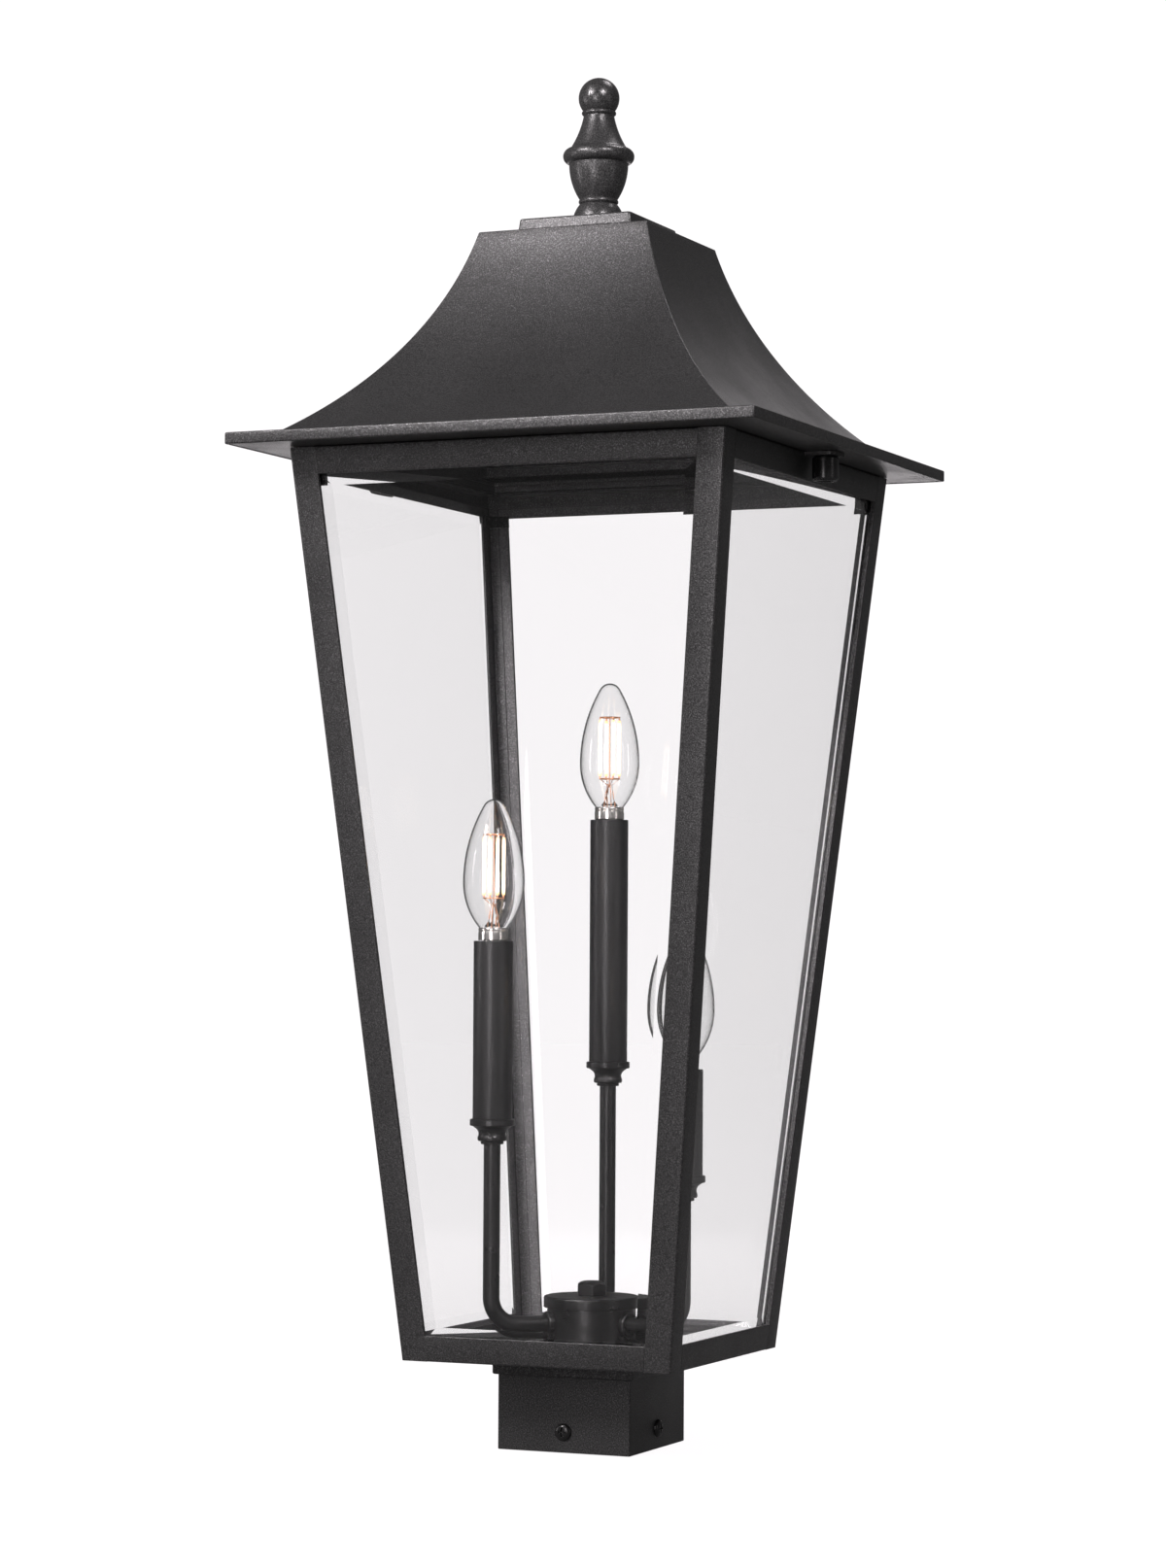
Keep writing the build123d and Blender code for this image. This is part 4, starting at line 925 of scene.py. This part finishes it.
for name in candle_turns:
    x, y = candle_axis(name)
    node = f"bulb_filaments_{name}"
    low, _ = box_sizes(node)
    place = np.array([x, y, low[2]])
    new_piece(f"stem_{name}", node, stem_glass, turned(flare, place, 48), smooth=50).visible_shadow = False

    wires = [wire(circle(ring_radius, low_ring), 0.32 * mm, closed=True)]
    wires.append(wire(circle(ring_radius, high_ring), 0.32 * mm, closed=True))
    wires.append(wire([(0, 0, 12 * mm), (0, 0, 30 * mm), (0, 0, high_ring)], 0.28 * mm))
    sticks = []
    for quarter in range(4):
        angle = np.radians(stick_turns[name] + 90 * quarter)
        out = np.array([np.cos(angle), np.sin(angle), 0])
        foot, ring = 1.2 * mm * out, ring_radius * out
        low_end, high_end = ring + (0, 0, low_ring), ring + (0, 0, high_ring)
        bow = ring * 0.5 + (0, 0, high_ring + 0.3 * mm)
        spread = [foot * 2.4 + (0, 0, 0.6 * mm), foot * 2.2 + (0, 0, 7 * mm), foot + (0, 0, 13 * mm)]
        wires.append(wire(spread + [low_end], 0.26 * mm))
        wires.append(wire([(0, 0, high_ring), bow, high_end], 0.3 * mm))
        wires.append(wire([low_end, low_end + orange_tip], 0.45 * mm))
        wires.append(wire([high_end - orange_tip, high_end], 0.45 * mm))
        sticks.append(turned(stick, place + ring, 16))
    wires = [(points + place, faces) for points, faces in wires]
    new_piece(f"lead_wires_{name}", node, copper, *wires)

    piece = new_piece(f"sticks_{name}", node, stick_glow, *sticks)
    mesh = piece.data
    heights = np.zeros(len(mesh.vertices) * 3, np.float32)
    mesh.vertices.foreach_get("co", heights)
    corner_vertex = np.zeros(len(mesh.loops), np.int32)
    mesh.loops.foreach_get("vertex_index", corner_vertex)
    share = (heights[2::3] - place[2] - start) / (end - start)
    uv = np.column_stack([np.zeros(len(mesh.loops)), share[corner_vertex]]).astype(np.float32)
    mesh.uv_layers.new(name="along").data.foreach_set("uv", uv.ravel())
print("four sticks of", round((end - start) / mm, 1), "mm in each lamp")

# %% [markdown]
# The set screws are black pan heads with a cross recess. A head seen end-on is a dome with a plus cut into
# it, so its depth is written as a height over a round grid: the dome's curve, less a recess that is deepest
# at the middle and slopes up along each arm of the cross.


# %% Set screws
def pan_head(radius, height, rings=40, spokes=144):
    """Height over a disc: a flattened dome, minus a cross whose arms taper in width and depth outward."""
    share = np.linspace(0, 1, rings)[:, None]
    angle = np.linspace(0, 2 * np.pi, spokes, endpoint=False)[None, :]
    u, v = radius * share * np.cos(angle), radius * share * np.sin(angle)
    dome = height * (1 - share**2.6) ** 0.5
    reach, recess = 0.56 * radius, 1.3 * mm
    depth = np.zeros_like(u)
    for along, across in ((np.abs(u), np.abs(v)), (np.abs(v), np.abs(u))):
        half_width = 0.155 * radius * (1 - 0.45 * along / reach)
        wall = np.clip((half_width - across) / (0.03 * radius), 0, 1)
        length = np.clip((reach - along) / (0.16 * radius), 0, 1)
        depth = np.maximum(depth, wall * length * recess * (1 - 0.35 * along / reach))
    w = dome - depth * np.minimum(1, dome / (0.3 * height))
    top = np.stack([u, v, w], -1).reshape(-1, 3)
    faces = grid_faces(rings, spokes, close_rows=False) + [list(range((rings - 1) * spokes, rings * spokes))]
    return top, faces


head_radius, head_tall, screw_height = 5 * mm, 2.2 * mm, 11.7 * mm
head_base = -(collar_half + 0.3 * mm)
shank = [(0, 0), (2.5 * mm, 0), (2.5 * mm, -9.1 * mm), (2.0 * mm, -9.7 * mm), (0, -9.7 * mm)]
screw = [
    (np.column_stack([points[:, 0], head_base - points[:, 2], points[:, 1] + screw_height]), faces)
    for points, faces in (pan_head(head_radius, head_tall), turned(shank, (0, 0, 0), 48))
]
low, high = box_sizes("set_screw_front")
for side, turn in face_turns.items():
    shells = [(spun(points, turn), faces) for points, faces in screw]
    new_piece(f"cross_screw_{side}", f"set_screw_{side}", hardware_black, *shells, smooth=38)
print("screw heads stand", round((high[1] - low[1]) / mm, 1), "mm with their shanks")

# %% [markdown]
# The two cap nuts under the eave hold the roof down. Each is a blind turned nut, with a chamfer at both rims
# and a shallow dish in the underside that catches a ring of light.

# %% Cap nuts
for side in ("left", "right"):
    low, high = box_sizes(f"cap_nut_{side}")
    x, tall = (low[0] + high[0]) / 2, high[2] - low[2]
    section = [
        (0, 1.1 * mm),
        (4.3 * mm, 1.1 * mm),
        (5.1 * mm, 0),
        (6.3 * mm, 0),
        (7.6 * mm, 1.3 * mm),
        (7.6 * mm, tall - 0.7 * mm),
        (6.9 * mm, tall),
        (2.56 * mm, tall),
        (2.56 * mm, 2.3 * mm),
        (0, 2.3 * mm),
    ]
    rounding = np.array([0, 0.5, 0.3, 0.3, 0.4, 0.4, 0.4, 0.3, 0.2, 0]) * mm
    shell = turned(eased(section, rounding), (x, 0, low[2]), 96)
    new_piece(f"blind_nut_{side}", f"cap_nut_{side}", hardware_black, shell)
print("cap nuts", round(tall / mm, 1), "mm tall")

# %% [markdown]
# The pieces that are left are right as the CAD frame gives them: flat panes with crisp bevels, and small
# fastenings that hide in corners. They only need their finish. The panes and the lamp glass cast no shadow,
# because clear glass lets the soft lights reach the arms and sleeves inside.

# %% Finishes of the pieces that stay
kept = {
    "glass_pane": pane_glass,
    "glass_clips": hardware_black,
    "floor_pan": powder_coat,
    "roof_tabs": powder_coat,
    "roof_studs": zinc,
    "finial_rod": zinc,
    "hub_nipple": zinc,
    "lamp_holder": holder_plastic,
}
count = 0
for node, piece in frame["nodes"].items():
    for start, finish in kept.items():
        if node.startswith(start):
            piece.data.materials.clear()
            piece.data.materials.append(finish)
            piece.visible_shadow = finish is not pane_glass
            count += 1
print("finished", count, "pieces as they are")

# %% [markdown]
# The lantern stands before a bright white surround, but its black paint mirrors a dim room with a few soft
# lights, as in a product studio. The world tells the two apart by the path of a ray: one that has only gone
# straight through glass counts every bounce as a transmission, and sees white, and any other ray has also
# been reflected, and sees the dim room.

# %% Surround
room_level, white_level = 0.10, 1.07
surround_colour = (1, 0.98, 0.99, 1)
surround = bpy.data.worlds.new("studio_surround")
bpy.context.scene.world = surround
surround.use_nodes = True
tree = surround.node_tree
background = tree.nodes["Background"]
background.inputs["Color"].default_value = surround_colour
rays = tree.nodes.new("ShaderNodeLightPath")


def surround_math(operation, first, second):
    """A math node of the surround, fed by two sockets or by a socket and a number."""
    node = tree.nodes.new("ShaderNodeMath")
    node.operation = operation
    for place, source in enumerate((first, second)):
        if isinstance(source, (int, float)):
            node.inputs[place].default_value = source
        else:
            tree.links.new(source, node.inputs[place])
    return node.outputs[0]


mirrored = surround_math("SUBTRACT", rays.outputs["Ray Depth"], rays.outputs["Transmission Depth"])
straight = surround_math("LESS_THAN", mirrored, 1.5)
seen = surround_math("MAXIMUM", rays.outputs["Is Camera Ray"], rays.outputs["Is Transmission Ray"])
level = tree.nodes.new("ShaderNodeMapRange")
level.inputs["To Min"].default_value = room_level
level.inputs["To Max"].default_value = white_level
tree.links.new(surround_math("MULTIPLY", straight, seen), level.inputs["Value"])
tree.links.new(level.outputs["Result"], background.inputs["Strength"])
bpy.context.scene.view_settings.view_transform = "Standard"
print("brightness of the room and of the surround:", room_level, white_level)

# %% [markdown]
# The studio's lights are soft: each is a glowing rectangle that faces the lantern. A panel's brightness is
# its energy divided by its area and by pi, so the energy is worked out from the brightness wanted: then a
# panel can change its size and its mirror image stays as bright.


# %% Soft panels
def soft_panel(name, bearing, rise, distance, wide, tall, strength, aim=(0, 0, 0.5), mirrored=True):
    """A panel at this bearing from the front (right is positive) and rise, in degrees, facing the aim."""
    turn, lift = math.radians(bearing), math.radians(rise)
    away = Vector((math.sin(turn) * math.cos(lift), -math.cos(turn) * math.cos(lift), math.sin(lift)))
    light = bpy.data.lights.new(name, "AREA")
    light.shape = "RECTANGLE"
    light.color = (1.0, 0.945, 0.97)
    light.size, light.size_y = wide, tall
    light.energy = strength * wide * tall * math.pi
    lamp = bpy.data.objects.new(name, light)
    bpy.context.scene.collection.objects.link(lamp)
    lamp.location = Vector(aim) + away * distance
    lamp.rotation_euler = away.to_track_quat("Z", "Y").to_euler()
    lamp.visible_camera = False
    lamp.visible_glossy = lamp.visible_transmission = mirrored
    return lamp


print("energy of a panel of one square metre at brightness 1:", round(math.pi, 2))

# %% [markdown]
# Two small bright panels stand left and right in front, above eye height, and give the finial's ball its
# double highlight and the roof its lit upper slope. Three tall strips at lamp height draw the long lines on
# sleeves and arms. Behind the lantern weaker panels touch the back slopes and the underside of the eave. The
# washes light the frames evenly from three sides, and the paint doesn't mirror them.

# %% Lights round the lantern
# Each panel: bearing, rise, distance, width, height, brightness and where it faces.
front_panels = [
    soft_panel("left_panel", -25, 31, 2.4, 0.6, 0.5, 50),
    soft_panel("right_panel", 47, 33, 2.4, 0.5, 0.45, 40),
    soft_panel("high_left_panel", -42, 50, 2.4, 1.0, 0.8, 1.5),
]
back_panels = [
    soft_panel("back_panel", 150, 62, 2.4, 0.8, 0.6, 8),
    soft_panel("grazing_panel", -163, 22, 2.4, 1.0, 0.9, 0.7),
    soft_panel("under_panel", -157, -8, 1.8, 0.9, 0.3, 2.5, (0, 0, 0.57)),
]
for panel in back_panels:
    panel.visible_transmission = False
washes_and_strips = [
    soft_panel("front_wash", -30, 3, 1.6, 0.8, 0.8, 6.5, (0, 0, 0.6), mirrored=False),
    soft_panel("back_wash", -172, 8, 1.6, 0.8, 0.8, 9, (0, 0, 0.6), mirrored=False),
    soft_panel("left_wash", -102, 8, 1.6, 0.8, 0.8, 5, (0, 0, 0.6), mirrored=False),
    soft_panel("middle_strip", 4, 4, 2.2, 0.4, 1.0, 7, (0, 0, 0.4)),
    soft_panel("left_strip", -62, 4, 2.2, 0.20, 1.0, 7, (0, 0, 0.4)),
    soft_panel("right_strip", 80, 4, 2.2, 0.20, 1.0, 2, (0, 0, 0.4)),
]
print(len(front_panels) + len(back_panels) + len(washes_and_strips), "soft panels")

# %% [markdown]
# The floor is a wide pale disc at the collar's lower rim. Seen directly or straight through glass, it gives
# off almost as much light as the surround, and the lights add the rest, so that it is white in the open and a
# little grey where the lantern shades it. In the paint's mirror it is as dim as the room, which keeps the
# frames black, and far away it is as white as the surround.

# %% Floor
floor_white, floor_shader = new_finish("pale_floor", Base_Color=(0.06, 0.06, 0.06, 1), Roughness=0.9)
floor_shader.inputs["Specular IOR Level"].default_value = 0.0
far = add_node(floor_white, "VectorMath", {"operation": "LENGTH"})
floor_white.node_tree.links.new(object_place(floor_white), far.inputs[0])
fade = rescale(floor_white, far.outputs["Value"], 0.98, white_level, 0.3, 1.6)
path = add_node(floor_white, "LightPath")
turned_back = add_node(floor_white, "Math", {"operation": "SUBTRACT"})
floor_white.node_tree.links.new(path.outputs["Ray Depth"], turned_back.inputs[0])
floor_white.node_tree.links.new(path.outputs["Transmission Depth"], turned_back.inputs[1])
in_view = add_node(floor_white, "Math", {"operation": "LESS_THAN"})
floor_white.node_tree.links.new(turned_back.outputs[0], in_view.inputs[0])
in_view.inputs[1].default_value = 0.5
shown = rescale(floor_white, in_view.outputs[0], room_level, fade)
floor_shader.inputs["Emission Color"].default_value = surround_colour
floor_white.node_tree.links.new(shown, floor_shader.inputs["Emission Strength"])
spokes, floor_level = 96, -0.0004
angle = np.linspace(0, 2 * np.pi, spokes, endpoint=False)
rings = np.array([0.001, 0.5, 1.5, 4.0, 9.0])
level_points = np.full((len(rings), spokes), floor_level)
points = np.stack([np.outer(rings, np.cos(angle)), np.outer(rings, np.sin(angle)), level_points], -1)
floor_faces = grid_faces(len(rings), spokes, close_rows=False) + [list(range(spokes - 1, -1, -1))]
floor_mesh = bpy.data.meshes.new("studio_floor")
floor_mesh.from_pydata(points.reshape(-1, 3).tolist(), [], floor_faces)
floor_mesh.materials.append(floor_white)
floor = bpy.data.objects.new("studio_floor", floor_mesh)
bpy.context.scene.collection.objects.link(floor)
floor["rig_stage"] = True
print("floor", 2 * rings[-1], "m across")

# %% [markdown]
# The photograph was taken from a little over two metres away, 23 degrees to the right of the front and at
# about a third of the lantern's height, with a long lens. The camera's place comes from matching the edges
# of the cage, the roof and the collar to the picture, and its aim is written as three small angles.

# %% Camera
distance, eye_height, bearing = 2.30462, 0.28869, 0.4076
turn_in, look_up, lean = 0.0031, 0.0395, 0.0056
heading = bearing + turn_in
look = Vector(
    (-math.sin(heading) * math.cos(look_up), math.cos(heading) * math.cos(look_up), math.sin(look_up))
)
right = Vector((math.cos(heading), math.sin(heading), 0))
up = right.cross(look)
camera_right = math.cos(lean) * right + math.sin(lean) * up
camera_up = -math.sin(lean) * right + math.cos(lean) * up
lens = bpy.data.cameras.new("photo_view")
sensor, focal_pixels, photo_pixels = 36, 4106.7, 1614
lens.sensor_width = sensor
lens.lens = sensor * focal_pixels / photo_pixels
camera = bpy.data.objects.new("photo_view", lens)
bpy.context.scene.collection.objects.link(camera)
eye = Vector((distance * math.sin(bearing), -distance * math.cos(bearing), eye_height))
axes = Matrix((camera_right, camera_up, -look)).transposed().to_4x4()
camera.matrix_world = Matrix.Translation(eye) @ axes
bpy.context.scene.camera = camera
print("camera", [round(value, 3) for value in eye], "with a", round(lens.lens, 1), "mm lens")

# %% Sizes and finish
visual_low, visual_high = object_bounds()
growth = zip(visual_high - visual_low, frame_high - frame_low)
print("growth in mm", [round((visual - cad) / mm, 2) for visual, cad in growth])
